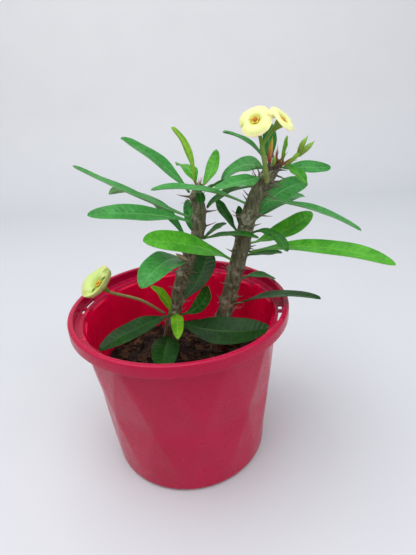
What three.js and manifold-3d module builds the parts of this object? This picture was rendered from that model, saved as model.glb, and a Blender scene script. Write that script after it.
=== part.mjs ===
// A crown of thorns (Euphorbia milii) in a faceted plastic nursery pot.
// Millimetres, +Z up, the origin in the middle of the pot's underside.
// Headings are degrees in the table plane: 0 points along +X and 90 along +Y.

import * as THREE from "three";
import { mergeVertices } from "three/addons/utils/BufferGeometryUtils.js";
import Module from "manifold-3d";

const wasm = await Module();
wasm.setup();

// ---------------------------------------------------------------- driving dimensions

const GAP = 0.3; // air left between two pieces that touch

const POT = {
  height: 127,
  rimRadius: 80,
  rimHeight: 9, // outer band of the rim, top to bottom
  rimWidth: 4, // flat top of the rim
  shoulderRadius: 72, // outside of the wall, just under the rim
  footRadius: 60, // outside of the wall where it meets the floor
  footRound: 4, // radius of the rounded foot
  wall: 1.8,
  floor: 2.4,
  facets: 12, // facets round the pot, in two rows
  waist: 60, // height at which the two rows meet
  facetTurn: -3, // turn of the facet pattern, degrees
  facetDepth: 0.6, // 0 is a round wall, 1 is flat facets
  segments: 48,
};

const DRAIN_HOLES = { count: 6, radius: 4, circle: 38 };

// Openings in the ledge inside the rim, where the ends of a wire hanger go through.
const HANGER_SLOTS = { centres: [-10, 170], long: 11, short: 5, apart: 10, inner: 72.6, outer: 75.4 };

const SOIL = { top: 74, crown: 3, roughness: 1.1, segments: 40 };

// Stem axes from below the soil to the growing tip, and their radii at both ends.
const STEMS = {
  main: {
    axis: [
      [26, 12, 58], [29, 12, 88], [35, 12, 111], [41.5, 12, 136], [48, 12, 159],
      [54, 12, 183], [62.5, 12, 204], [71, 12, 216], [76, 12, 221],
    ],
    radius: [6.6, 5.2],
    spines: 26,
  },
  left: {
    axis: [
      [-15, 10, 58], [-11, 10, 90], [-4.5, 10, 114], [2, 10, 137], [11, 10, 159],
      [18, 10, 177], [19.5, 10, 192], [18.5, 10, 202], [21, 10, 210],
    ],
    radius: [5.2, 4.4],
    spines: 20,
  },
  shoot: {
    axis: [[-10.5, 8, 94], [-9, 4.5, 102], [-6, 3, 110], [-3.5, 2, 117]],
    radius: [3, 2.4],
    spines: 0,
  },
};

// A growing tip: how far along the stem it starts to narrow, and by how much it has at the end.
const TIP = { from: 0.93, narrowing: 0.55 };

const SPINE = { length: 5.5, radius: 0.7, turn: 137.5, rise: 12, spread: 16, from: 0.22, to: 0.9 };

const LEAF = {
  blade: 0.8, // thickness of the blade
  stalk: 1.5, // thickness of the leaf stalk at its foot
  edge: 0.6, // thickness at the margin, as a part of the thickness at the midrib
  foot: 0.055, // width of the foot, as a part of the full width
  fold: 10, // how far each half of the blade is folded up, degrees
  widest: 0.6, // where the blade is widest, as a part of its length
  stations: [0, 0.12, 0.28, 0.46, 0.64, 0.8, 0.93],
};

// One row a leaf: height where its foot joins the stem, heading, climb of its foot and of its
// tip above the level, length, width, and then only what is unusual about it: how far its foot
// and tip roll about the midrib, how far the tip swings sideways, and where it is widest.
const LEAVES = {
  main: [
    [116, -30, 33, 3, 71, 18, { roll: [-10, 4], swing: -12 }],
    [135, 21, 8, -35, 32, 14, { roll: [-5, -15] }],
    [158, -24, 19, -13, 100, 23, { roll: [-7, -13], swing: -13 }],
    [154, 19, -2, -11, 30, 12, { roll: [-8, -3] }],
    [163, 23, 0, 33, 55, 26, { roll: [-16, -28], swing: -10, widest: 0.67 }],
    [173, -50, 37, -57, 37, 10, { roll: [-12, -26], widest: 0.7 }],
    [196, -9, -6, -33, 72, 18, {}],
    [182, 33, 42, -12, 60, 23, { roll: [-44, -54], swing: 5, widest: 0.45 }],
    [178, 40, 29, -16, 63, 18, { roll: [-15, -9], widest: 0.54 }],
    [218, -20, -18, -61, 21, 16, { roll: [-30, -14], widest: 0.56 }],
    [216, 30, -6, -8, 45, 15, { roll: [-33, -41], swing: -13 }],
    [219, 39, 88, 60, 18, 6, { roll: [80, 70] }],
    [218, 118, 86, 88, 28, 15, { roll: [10, 0] }],
    [219, 168, 65, 9, 39, 9, { roll: [12, 0] }],
    [216, 146, 24, -60, 39, 22, { roll: [32, 28], swing: 9, widest: 0.36 }],
    [211, 218, 7, -9, 37, 19, { roll: [34, 0], swing: -15, widest: 0.45 }],
    [205, 172, 2, -50, 37, 13, { roll: [16, 25] }],
    [194, 206, 34, 0, 72, 15, { roll: [15, 11] }],
    [153, 218, 39, 11, 74, 28, { roll: [32, 25], swing: -17, widest: 0.72 }],
    [172, 141, 48, 55, 29, 14, { roll: [-8, 18] }],
    [171, 101, 68, 72, 19, 9, {}],
  ],
  left: [
    [210, 129, 95, 24, 44, 7, { roll: [74, 95] }],
    [207, 65, 3, 66, 38, 14, { widest: 0.66 }],
    [208, 108, 53, -13, 33, 17, { roll: [9, -18], swing: 19, widest: 0.5 }],
    [204, 168, 55, 28, 58, 20, { roll: [16, 7], swing: 8, widest: 0.56 }],
    [186, 170, 23, 30, 89, 19, { swing: 6 }],
    [184, 193, 22, 2, 71, 24, { roll: [16, 21], swing: 5 }],
    [167, 152, 67, -26, 93, 17, { roll: [35, -72], swing: -17, widest: 0.52 }],
    [171, -19, 22, -14, 41, 14, { roll: [-15, 7] }],
    [156, 243, 39, -34, 56, 31, { roll: [17, 18], swing: -7, widest: 0.5 }],
    [205, 4, 36, -7, 23, 14, { roll: [11, 12] }],
    [171, 105, 52, 63, 28, 13, {}],
    [206, -83, 10, -60, 14, 8, {}],
    [170, 20, 37, 12, 21, 12, {}],
    [118, 50, 11, 61, 52, 29, { roll: [-6, -6], swing: 9, widest: 0.73 }],
    [109, 7, 4, 88, 35, 19, { roll: [-40, -44], swing: -12, widest: 0.68 }],
    [94, -92, 24, -15, 51, 28, { roll: [5, 11], widest: 0.5 }],
  ],
  shoot: [
    [116, 192, 88, 39, 28, 14, { roll: [55, 17], widest: 0.5 }],
    [116, -80, 30, -34, 34, 12, { swing: -10 }],
    [115, 211, 3, -18, 59, 23, { roll: [22, 19], widest: 0.48 }],
    [108, -15, -18, 19, 72, 31, { roll: [-60, -16], widest: 0.57 }],
  ],
};

const FLOWER = {
  reach: 100, // how far a bract spreads either side of its own heading, degrees
  thickness: 0.5,
  cup: 1.9, // radius of the nectar cup in the middle
  funnel: 5, // depth of the green funnel under the cup
  stalk: 1.2, // radius of the funnel's foot
};

// Where each flower sits, which way it faces, the reach of its bracts, how the bracts are
// turned about that direction, and how steeply each one stands up from the flower's plane.
const FLOWERS = {
  top_left_flower: {
    at: [58.6, 2, 248], facing: [-0.3, -0.73, 0.61], radius: 12.2, turn: 272, lift: [14, -3],
  },
  top_right_flower: {
    at: [75, 3, 246.8], facing: [0.57, -0.51, 0.65], radius: 11.7, turn: 266, lift: [27, 7],
  },
  low_flower: { at: [-56, 0, 144.4], facing: [-0.5, -0.33, 0.8], radius: 17, turn: 303, lift: [36, 19] },
};

// Routes and radii of the stalks. Each one starts just clear of the stem that bears it.
const TOP_STALK = {
  foot: [66, 2.6, 209], bend: [64.5, 2.8, 221], fork: [62.5, 3, 233], radius: 1.7, arm: 1.3,
};
const LOW_STALK = { foot: [-12, 5, 114], bend: [-29, 5, 127], radius: 1.2 };
const BUDS = {
  foot: [81.5, 9, 220],
  bend: [85, 8, 222],
  fork: [88, 8, 225],
  radius: 1.3,
  tips: [[93.7, 8, 236.2], [97.8, 8, 233]],
  swelling: 1.6,
};
const SCRAP = { axis: [[2, -10, 168], [5, -11, 166], [10, -11, 163]], thin: 0.5, swelling: 1.3 };

// ---------------------------------------------------------------- small helpers

const rad = THREE.MathUtils.degToRad;
const mix = THREE.MathUtils.lerp;
const vec = (x, y, z) => new THREE.Vector3(x, y, z);
const AXIS_Z = vec(0, 0, 1);

// A direction from its heading and its climb above the level, both in degrees.
const direction = (heading, climb) =>
  vec(
    Math.cos(rad(climb)) * Math.cos(rad(heading)),
    Math.cos(rad(climb)) * Math.sin(rad(heading)),
    Math.sin(rad(climb)),
  );

// A repeatable number from -1 to 1 for each whole number n.
const scatter = (n) => 2 * (Math.abs(Math.sin(n * 12.9898) * 43758.5453) % 1) - 1;

function solidOf(geometry) {
  const bare = geometry.clone();
  bare.deleteAttribute("normal");
  bare.deleteAttribute("uv");
  const merged = mergeVertices(bare, 1e-4);
  return new wasm.Manifold(
    new wasm.Mesh({
      numProp: 3,
      vertProperties: new Float32Array(merged.attributes.position.array),
      triVerts: new Uint32Array(merged.index.array),
    }),
  );
}

function geometryOf(solid) {
  const { vertProperties, triVerts } = solid.getMesh();
  const geometry = new THREE.BufferGeometry();
  geometry.setAttribute("position", new THREE.BufferAttribute(vertProperties, 3));
  geometry.setIndex(new THREE.BufferAttribute(triVerts, 1));
  geometry.computeVertexNormals();
  return geometry;
}

// Skins a row of equal rings of points, and closes it to one point at each end. The rings run
// anticlockwise seen from the far end. The two halves of a ring are split along opposite
// diagonals, which keeps the two faces of a thin twisted blade apart.
function skin(start, rings, end) {
  const count = rings[0].length;
  const points = [start, ...rings.flat(), end];
  const last = points.length - 1;
  const index = [];
  for (let i = 0; i < count; i++) {
    const j = (i + 1) % count;
    index.push(0, 1 + j, 1 + i);
    for (let k = 0; k + 1 < rings.length; k++) {
      const [a, b] = [1 + k * count + i, 1 + k * count + j];
      if (i < count / 2) index.push(a, b, b + count, a, b + count, a + count);
      else index.push(a, b, a + count, b, b + count, a + count);
    }
    const top = 1 + (rings.length - 1) * count;
    index.push(top + i, top + j, last);
  }
  const geometry = new THREE.BufferGeometry().setFromPoints(points);
  geometry.setIndex(index);
  geometry.computeVertexNormals();
  return geometry;
}

// A tube along a curve, whose radius is a function of how far along it is, from 0 to 1.
function tube(curve, radius, sides, steps) {
  const frames = curve.computeFrenetFrames(steps, false);
  const rings = [];
  for (let k = 0; k <= steps; k++) {
    const centre = curve.getPointAt(k / steps);
    const ring = [];
    for (let i = 0; i < sides; i++) {
      const turn = (2 * Math.PI * i) / sides;
      const out = frames.normals[k]
        .clone()
        .multiplyScalar(Math.cos(turn))
        .addScaledVector(frames.binormals[k], Math.sin(turn));
      ring.push(centre.clone().addScaledVector(out, radius(k / steps)));
    }
    rings.push(ring);
  }
  return skin(curve.getPointAt(0), rings, curve.getPointAt(1));
}

const smoothCurve = (points) =>
  new THREE.CatmullRomCurve3(points.map(([x, y, z]) => vec(x, y, z)), false, "centripetal");

// ---------------------------------------------------------------- pot and soil

// Radius of the facet pattern at a heading and height, as a part of the round wall's radius.
// Each level is a ring of flat facets, whose corners slide half a facet from row to row.
function facetFactor(heading, z) {
  const pitch = 360 / POT.facets;
  const foot = POT.footRound;
  const shoulder = POT.height - POT.rimHeight;
  const upper = z > POT.waist;
  const level = (z - POT.waist) / (upper ? shoulder - POT.waist : foot - POT.waist);
  const along = (((heading - POT.facetTurn) / pitch) % 1) + 1;
  const toCorner = Math.abs(((along + 0.5) % 1) - 0.5) * pitch;
  const half = (pitch / 2) * Math.min(Math.max(level, 0), 1);
  const fromMiddle = toCorner < pitch / 2 - half ? toCorner : pitch / 2 - toCorner;
  const reach = toCorner < pitch / 2 - half ? pitch / 2 - half : half;
  const flat = Math.cos(rad(reach)) / Math.cos(rad(fromMiddle));
  const fade = upper ? 1 : THREE.MathUtils.smoothstep(z, foot, POT.waist * 0.6);
  return 1 - POT.facetDepth * fade * (1 - flat);
}

function wallRadius(z) {
  const t = z / (POT.height - POT.rimHeight);
  return mix(POT.footRadius, POT.shoulderRadius, t);
}

function potProfile() {
  const { height, rimRadius, rimHeight, rimWidth, wall, floor, footRound, waist } = POT;
  const ledge = height - rimHeight;
  const rows = 4;
  const levels = [];
  for (let i = 0; i <= rows; i++) levels.push(mix(footRound, ledge, i / rows));
  levels[rows / 2] = waist;
  const foot = [0, 30, 60].map((a) => [
    wallRadius(footRound) - footRound * (1 - Math.sin(rad(a))),
    footRound * (1 - Math.cos(rad(a))),
  ]);
  const rim = [
    [rimRadius - 0.8, ledge],
    [rimRadius, ledge + 0.8],
    [rimRadius, height - 1],
    [rimRadius - 1, height],
    [rimRadius - rimWidth + 0.6, height],
    [rimRadius - rimWidth, height - 0.8],
    [rimRadius - rimWidth, ledge + wall],
  ];
  const inside = levels.map((z) => [wallRadius(z) - wall, z]).reverse();
  inside[0][1] += wall;
  return [
    [0, 0],
    ...foot,
    ...levels.map((z) => [wallRadius(z), z]),
    ...rim,
    ...inside,
    [wallRadius(floor) - wall - 3, floor],
    [0, floor],
  ].map(([r, z]) => new THREE.Vector2(r, z));
}

// An upright slot that follows the ledge: an arc of a ring, cut right through it.
function ledgeSlot(centre, span) {
  const { inner, outer } = HANGER_SLOTS;
  const shape = new THREE.Shape();
  shape.absarc(0, 0, outer, rad(centre - span / 2), rad(centre + span / 2), false);
  shape.absarc(0, 0, inner, rad(centre + span / 2), rad(centre - span / 2), true);
  const slot = new THREE.ExtrudeGeometry(shape, { depth: 8, bevelEnabled: false, curveSegments: 6 });
  return slot.translate(0, 0, POT.height - POT.rimHeight - 3);
}

function pot() {
  const body = new THREE.LatheGeometry(potProfile(), POT.segments);
  body.rotateX(Math.PI / 2).rotateZ(rad(POT.facetTurn));
  const at = body.attributes.position;
  for (let i = 0; i < at.count; i++) {
    const [x, y, z] = [at.getX(i), at.getY(i), at.getZ(i)];
    const r = Math.hypot(x, y);
    if (z < POT.footRound || r > wallRadius(z) + 0.01) continue;
    const factor = facetFactor(THREE.MathUtils.radToDeg(Math.atan2(y, x)), z);
    at.setXY(i, x * factor, y * factor);
  }
  let solid = solidOf(body);
  for (const centre of HANGER_SLOTS.centres) {
    const { long, short, apart } = HANGER_SLOTS;
    solid = solid.subtract(solidOf(ledgeSlot(centre - apart / 2, long)));
    solid = solid.subtract(solidOf(ledgeSlot(centre + apart / 2, short)));
  }
  for (let i = 0; i < DRAIN_HOLES.count; i++) {
    const hole = new THREE.CylinderGeometry(DRAIN_HOLES.radius, DRAIN_HOLES.radius, 3 * POT.floor, 16);
    hole.rotateX(Math.PI / 2).translate(DRAIN_HOLES.circle, 0, 0);
    hole.rotateZ((2 * Math.PI * i) / DRAIN_HOLES.count);
    solid = solid.subtract(solidOf(hole));
  }
  return geometryOf(solid);
}

// The soil fills the pot to about three fifths of its height, with a low crown in the middle and
// an uneven top, and each stem stands in a socket of its own.
function soil(stems) {
  const bottom = POT.floor + GAP;
  const smallest = Math.cos(rad(180 / POT.facets));
  const clearance = POT.wall + GAP;
  const side = (z) => wallRadius(z) * (1 - POT.facetDepth * (1 - smallest)) - clearance;
  const rings = [1, 0.86, 0.7, 0.52, 0.34, 0.17];
  const profile = [
    [0, bottom],
    [side(bottom) - 4, bottom],
    [side(bottom + 8), bottom + 8],
    [side(POT.waist), POT.waist],
    ...rings.map((k) => [side(SOIL.top) * k, SOIL.top + SOIL.crown * (1 - k * k)]),
    [0, SOIL.top + SOIL.crown],
  ].map(([r, z]) => new THREE.Vector2(r, z));
  const body = new THREE.LatheGeometry(profile, SOIL.segments);
  body.rotateX(Math.PI / 2);
  const at = body.attributes.position;
  for (let i = 0; i < at.count; i++) {
    const [x, y, z] = [at.getX(i), at.getY(i), at.getZ(i)];
    if (z < SOIL.top - 1) continue;
    const bumps = Math.sin(x * 0.31 + 1) * Math.cos(y * 0.27) + Math.sin(x * 0.13 - y * 0.19);
    at.setZ(i, z + SOIL.roughness * bumps * 0.6);
  }
  return geometryOf(stems.reduce((left, stem) => left.subtract(stem), solidOf(body)));
}

// ---------------------------------------------------------------- stems and spines

const stemCurve = Object.fromEntries(
  Object.entries(STEMS).map(([name, stem]) => [name, smoothCurve(stem.axis)]),
);

const girth = (name, t) => mix(...STEMS[name].radius, t);

// The stem's radius, drawn in to a blunt growing tip at its top end.
const stemRadius = (name, t) =>
  girth(name, t) * (1 - TIP.narrowing * THREE.MathUtils.smoothstep(t, TIP.from, 1));

// The point of a stem's axis at a height, and how far along the axis it is.
function axisAt(name, height) {
  const curve = stemCurve[name];
  let [low, high] = [0, 1];
  for (let i = 0; i < 24; i++) {
    const middle = (low + high) / 2;
    if (curve.getPointAt(middle).z < height) low = middle;
    else high = middle;
  }
  return { point: curve.getPointAt(low), t: low };
}

const stemTube = (name, extra, sides, steps) =>
  tube(stemCurve[name], (t) => stemRadius(name, t) + extra, sides, steps);

// One spine: a slender four-sided cone, from inside the stem to its point.
function spine(root, heading, climb, length) {
  const out = direction(heading, climb);
  const across = new THREE.Vector3().crossVectors(out, AXIS_Z).normalize();
  const up = new THREE.Vector3().crossVectors(across, out);
  const ring = [0, 1, 2, 3].map((i) =>
    root
      .clone()
      .addScaledVector(across, SPINE.radius * Math.cos((Math.PI * i) / 2))
      .addScaledVector(up, SPINE.radius * Math.sin((Math.PI * i) / 2)),
  );
  const inner = root.clone().addScaledVector(out, -0.5);
  return skin(inner, [ring.reverse()], root.clone().addScaledVector(out, length)).toNonIndexed();
}

// Spines stand in pairs round the stem, each pair one golden turn on from the last. A spine
// that would pierce a leaf is left off.
function addSpines(name, solid, leaves) {
  const pairs = STEMS[name].spines / 2;
  for (let k = 0; k < pairs; k++) {
    const t = mix(SPINE.from, SPINE.to, (k + 0.5) / pairs);
    const centre = stemCurve[name].getPointAt(t);
    for (const sign of [-1, 1]) {
      const heading = SPINE.turn * k + sign * SPINE.spread;
      const reach = stemRadius(name, t);
      const root = centre.clone().addScaledVector(direction(heading, 0), reach - 0.6);
      const length = SPINE.length * (1 + 0.3 * scatter(k + 7 * sign));
      const thorn = solidOf(spine(root, heading, SPINE.rise + 10 * scatter(k + sign), length));
      if (leaves.every((leaf) => thorn.intersect(leaf).volume() < 1e-6)) solid = solid.add(thorn);
    }
  }
  return solid;
}

// ---------------------------------------------------------------- leaves

// Half width of a leaf along its length, as a part of its full half width: a narrow foot, a
// slow swelling to the widest place and a rounded tip.
function bladeWidth(t, widest) {
  if (t < widest) return LEAF.foot + (1 - LEAF.foot) * Math.sin((Math.PI / 2) * (t / widest)) ** 1.5;
  return (1 - ((t - widest) / (1 - widest)) ** 2.2) ** 0.75;
}

function leaf(stem, [height, heading, rise, tipRise, length, width, odd]) {
  const { roll = [0, 0], swing = 0, widest = LEAF.widest } = odd;
  const foot = axisAt(stem, height);
  const reach = girth(stem, foot.t) + GAP + 0.5;
  const steps = 40;
  const midrib = [foot.point.addScaledVector(direction(heading, 0), reach)];
  const way = (t) => direction(heading + swing * t, mix(rise, tipRise, t));
  for (let i = 0; i < steps; i++) {
    midrib.push(midrib[i].clone().addScaledVector(way((i + 0.5) / steps), length / steps));
  }
  const rings = LEAF.stations.map((t) => {
    const along = heading + swing * t;
    const flat = vec(Math.sin(rad(along)), -Math.cos(rad(along)), 0);
    const up = new THREE.Vector3().crossVectors(flat, way(t));
    const turn = rad(mix(roll[0], roll[1], t));
    const side = flat.clone().multiplyScalar(Math.cos(turn)).addScaledVector(up, Math.sin(turn));
    const face = up.clone().multiplyScalar(Math.cos(turn)).addScaledVector(flat, -Math.sin(turn));
    const centre = midrib[Math.round(t * steps)];
    const half = (width / 2) * bladeWidth(t, widest);
    const thick = mix(LEAF.stalk, LEAF.blade, Math.min(1, t / 0.2)) / 2;
    const point = (across, above) =>
      centre
        .clone()
        .addScaledVector(side, across * half * Math.cos(rad(LEAF.fold)))
        .addScaledVector(face, (Math.abs(across) - 0.5) * half * Math.sin(rad(LEAF.fold)) + above);
    const edge = thick * LEAF.edge;
    const underside = [point(1, -edge), point(0, -thick), point(-1, -edge)];
    const top = [point(-1, edge), point(0, thick), point(1, edge)];
    return [...underside, ...top];
  });
  return skin(midrib[0], rings, midrib[steps]);
}

// ---------------------------------------------------------------- flowers and stalks

// A bract is a shallow kidney-shaped fan about the middle of the flower, held a little above or
// below its partner, so that the two overlap at their sides without touching.
function bract(radius, heading, lift, level) {
  const { reach, thickness, cup } = FLOWER;
  const [ribs, rings] = [12, 3];
  const surface = (i, k, above) => {
    const spread = mix(-reach, reach, i / ribs);
    const size = radius * (1 - 0.45 * Math.abs(spread / reach) ** 4);
    const slope = Math.tan(rad(lift)) * Math.cos(rad(spread) * 0.6);
    const run = mix(GAP + 0.4, size - cup, k / rings) / Math.hypot(1, slope);
    const away = direction(heading + spread, 0).multiplyScalar(cup + run);
    return away.setZ(run * slope + level + above);
  };
  const sections = [];
  for (let i = 0; i <= ribs; i++) {
    const ring = [];
    for (let k = 0; k <= rings; k++) ring.push(surface(i, k, thickness / 2));
    for (let k = rings; k >= 0; k--) ring.push(surface(i, k, -thickness / 2));
    sections.push(ring);
  }
  return skin(surface(0, rings / 2, 0), sections, surface(ribs, rings / 2, 0));
}

function flowerCup() {
  const { cup, funnel, stalk } = FLOWER;
  const profile = [
    [0, -funnel],
    [stalk, -funnel],
    [stalk * 1.25, -funnel * 0.6],
    [cup * 0.9, -0.8],
    [cup, 0.6],
    [cup * 0.9, 1.6],
    [cup * 0.5, 1.3],
    [0, 1.1],
  ].map(([r, z]) => new THREE.Vector2(r, z));
  return new THREE.LatheGeometry(profile, 12).rotateX(Math.PI / 2);
}

// Moves a piece made about +Z to its place on the plant, facing its own way.
function placed(geometry, { at, facing }) {
  const turn = new THREE.Quaternion().setFromUnitVectors(AXIS_Z, vec(...facing).normalize());
  return geometry.applyQuaternion(turn).translate(...at);
}

// Where a stalk meets the foot of a flower's funnel, and a point further down its line.
function funnelFoot({ at, facing }, below) {
  const back = vec(...facing).normalize().multiplyScalar(-(FLOWER.funnel + below));
  return vec(...at).add(back).toArray();
}

function stalk(points, radius) {
  return solidOf(tube(smoothCurve(points), () => radius, 8, 3 * points.length));
}

function topStalk() {
  const { foot, bend, fork, radius, arm } = TOP_STALK;
  const trunk = stalk([foot, bend, fork], radius);
  const arms = [FLOWERS.top_left_flower, FLOWERS.top_right_flower].map((flower) =>
    stalk([fork, funnelFoot(flower, 4), funnelFoot(flower, GAP)], arm),
  );
  return geometryOf(arms.reduce((whole, branch) => whole.add(branch), trunk));
}

function lowStalk() {
  const flower = FLOWERS.low_flower;
  const { foot, bend, radius } = LOW_STALK;
  return geometryOf(stalk([foot, bend, funnelFoot(flower, 5), funnelFoot(flower, GAP)], radius));
}

// Two closed buds on a short forked stalk at the growing tip.
function budPair() {
  const { foot, bend, fork, radius, tips, swelling } = BUDS;
  const girthAt = (t) => 0.5 + swelling * Math.sin(Math.PI * Math.min(1, t * 0.85 + 0.08));
  const buds = tips.map((tip) => solidOf(tube(smoothCurve([fork, tip]), girthAt, 8, 8)));
  return geometryOf(buds.reduce((whole, bud) => whole.add(bud), stalk([foot, bend, fork], radius)));
}

// A scrap of dried leaf, caught in the plant.
function driedScrap() {
  const { axis, thin, swelling } = SCRAP;
  return tube(smoothCurve(axis), (t) => thin + swelling * Math.sin(Math.PI * t), 6, 6);
}

// ---------------------------------------------------------------- assembly

const finish = (color, roughness) => new THREE.MeshStandardMaterial({ color, roughness, metalness: 0 });
const MATERIALS = {
  pot: finish(0xb8123f, 0.35),
  soil: finish(0x2b1d15, 0.95),
  bark: finish(0x77705c, 0.8),
  leaf: finish(0x3f9a3a, 0.4),
  youngLeaf: finish(0x86b81e, 0.4),
  bract: finish(0xf1eb9a, 0.6),
  cup: finish(0xd9a514, 0.5),
  stalk: finish(0x7f9440, 0.5),
  dry: finish(0xb79a6d, 0.9),
};

const plant = new THREE.Group();
plant.name = "potted_crown_of_thorns";

function add(name, geometry, material) {
  const piece = new THREE.Mesh(geometry, material);
  piece.name = name;
  plant.add(piece);
}

const leafSolids = [];
for (const [stem, rows] of Object.entries(LEAVES)) {
  rows.forEach((row, i) => {
    const geometry = leaf(stem, row);
    const young = stem === "shoot" && i < 2;
    leafSolids.push(solidOf(geometry));
    const number = String(i + 1).padStart(2, "0");
    add(`${stem}_leaf_${number}`, geometry, young ? MATERIALS.youngLeaf : MATERIALS.leaf);
  });
}

const leftWood = solidOf(stemTube("left", 0, 12, 26)).add(solidOf(stemTube("shoot", 0, 10, 8)));
const mainWood = solidOf(stemTube("main", 0, 12, 28));
add("main_stem", geometryOf(addSpines("main", mainWood, leafSolids)), MATERIALS.bark);
add("left_stem", geometryOf(addSpines("left", leftWood, leafSolids)), MATERIALS.bark);

const sockets = ["main", "left"].map((name) => solidOf(stemTube(name, 2 * GAP, 16, 26)));
add("pot", pot(), MATERIALS.pot);
add("soil", soil(sockets), MATERIALS.soil);

for (const [name, flower] of Object.entries(FLOWERS)) {
  const { radius, turn, lift } = flower;
  add(`${name}_bract_upper`, placed(bract(radius, turn, lift[0], 0.5), flower), MATERIALS.bract);
  add(`${name}_bract_lower`, placed(bract(radius, turn + 180, lift[1], -0.5), flower), MATERIALS.bract);
  add(`${name}_cup`, placed(flowerCup(), flower), MATERIALS.cup);
}
add("top_flower_stalk", topStalk(), MATERIALS.stalk);
add("low_flower_stalk", lowStalk(), MATERIALS.stalk);
add("bud_pair", budPair(), MATERIALS.stalk);
add("dried_scrap", driedScrap(), MATERIALS.dry);

export default plant;
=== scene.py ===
# %% [markdown]
# # A potted crown of thorns
# A crown of thorns is a spiny shrub with waxy leaves and small flowers, each framed by two round
# coloured bracts. This one stands in a faceted red plastic pot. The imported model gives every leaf,
# stem and flower its place and its size as plain solids, which stay as they are for the physics.
# Here each of them is replaced by a finer surface worked out with numpy, and each surface gets a
# material made from shader nodes. Lengths are in metres, and the pot stands on z = 0.

import bpy
import numpy as np
from mathutils import Matrix, Vector
from mathutils.kdtree import KDTree


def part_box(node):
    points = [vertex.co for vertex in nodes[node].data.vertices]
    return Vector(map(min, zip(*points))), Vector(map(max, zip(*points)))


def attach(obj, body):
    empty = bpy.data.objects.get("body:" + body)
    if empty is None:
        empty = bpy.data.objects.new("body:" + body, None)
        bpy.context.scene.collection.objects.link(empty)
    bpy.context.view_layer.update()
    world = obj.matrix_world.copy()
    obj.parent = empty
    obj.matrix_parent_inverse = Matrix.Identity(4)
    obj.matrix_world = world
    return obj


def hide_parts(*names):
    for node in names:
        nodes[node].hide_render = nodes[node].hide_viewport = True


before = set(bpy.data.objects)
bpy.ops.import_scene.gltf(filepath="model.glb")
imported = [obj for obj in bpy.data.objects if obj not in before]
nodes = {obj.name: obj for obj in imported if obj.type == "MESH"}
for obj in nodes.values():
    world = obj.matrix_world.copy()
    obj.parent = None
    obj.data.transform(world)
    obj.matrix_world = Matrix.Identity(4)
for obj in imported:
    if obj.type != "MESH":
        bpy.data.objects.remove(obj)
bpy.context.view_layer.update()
MM = 0.001
rng = np.random.default_rng(12)

# %% [markdown]
# ## Two helpers that every piece uses
# Blender takes a mesh as a list of points and a list of faces. Nearly every surface here is a grid
# of points, rows by columns, so one function works out the faces of such a grid for all of them.
# Numbers that a material needs, such as how far a point lies along its leaf, are stored beside the
# points as named attributes, which follow the surface wherever it bends.

# %% Grids, meshes and riding
def grid_faces(rows, columns, closed=False, first=0):
    """Faces of a grid of points stored row after row: each one joins two neighbours of a row to
    the two points under them. A closed grid also joins its last column to its first."""
    r, c = np.meshgrid(np.arange(rows - 1), np.arange(columns - (not closed)), indexing="ij")
    here = first + r * columns + c
    right = first + r * columns + (c + 1) % columns
    return np.stack([here, right, right + columns, here + columns], -1).reshape(-1, 4)


def cap_faces(pole, ring, outward=True):
    """Triangles from one point to each pair of neighbours in a closed ring."""
    after = np.roll(ring, -1)
    pair = (ring, after) if outward else (after, ring)
    return np.stack([np.full(len(ring), pole), *pair], -1)


def make_mesh(name, points, faces, values=None, smooth=True):
    """An object at the origin with these points and faces. values are named numbers per point."""
    mesh = bpy.data.meshes.new(name)
    mesh.from_pydata(points.tolist(), [], [f.tolist() for group in faces for f in group])
    for key, numbers in (values or {}).items():
        mesh.attributes.new(key, "FLOAT", "POINT").data.foreach_set(
            "value", np.ravel(numbers).astype(np.float32)
        )
    mesh.polygons.foreach_set("use_smooth", np.full(len(mesh.polygons), smooth))
    mesh.update()
    piece = bpy.data.objects.new(name, mesh)
    bpy.context.scene.collection.objects.link(piece)
    return piece


def stand_for(piece, node, material):
    """The piece takes a solid's place, rides with the plant and wears the material."""
    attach(piece, "root")
    if node:
        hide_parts(node)
    piece.data.materials.append(material)
    return piece


def unit(v):
    """Vectors scaled to length 1."""
    return v / np.maximum(np.linalg.norm(v, axis=-1, keepdims=True), 1e-12)


def node_points(node):
    """A solid's corners, each one once, and for each corner the numbers of its neighbours."""
    mesh = nodes[node].data
    co = np.empty(len(mesh.vertices) * 3)
    mesh.vertices.foreach_get("co", co)
    corner = np.empty(len(mesh.loops), int)
    mesh.loops.foreach_get("vertex_index", corner)
    points, same = np.unique(co.reshape(-1, 3).round(6), axis=0, return_inverse=True)
    triangles = same.ravel()[corner].reshape(-1, 3)
    edges = np.concatenate([triangles[:, [0, 1]], triangles[:, [1, 2]], triangles[:, [2, 0]]])
    return points, [set(edges[edges[:, 0] == i, 1]) for i in range(len(points))]


# %% [markdown]
# ## Camera
# The camera looks down at the plant from the front, with a slight roll. Its place and its three
# axes are given outright, so that the view doesn't depend on where the object's middle is. The
# numbers came from another program, a least-squares fit of the pot's outline.

# %% Camera
PITCH, ROLL = np.radians(24.67), np.radians(-3.79)
PLACE = (0.0226, -0.2735, 0.2698)


def make_camera():
    """A camera that looks along +Y, tipped down by the pitch and turned about its view by the roll."""
    forward = np.array([0, np.cos(PITCH), -np.sin(PITCH)])
    level, upright = np.array([1.0, 0, 0]), np.array([0, np.sin(PITCH), np.cos(PITCH)])
    right = np.cos(ROLL) * level + np.sin(ROLL) * upright
    up = -np.sin(ROLL) * level + np.cos(ROLL) * upright
    lens = bpy.data.cameras.new("camera")
    lens.lens, lens.sensor_width = 27.04, 36.0
    camera = bpy.data.objects.new("camera", lens)
    axes = np.eye(4)
    axes[:3, :3] = np.stack([right, up, -forward], 1)
    axes[:3, 3] = PLACE
    camera.matrix_world = Matrix(axes.tolist())
    bpy.context.scene.collection.objects.link(camera)
    bpy.context.scene.camera = camera
    return camera


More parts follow.
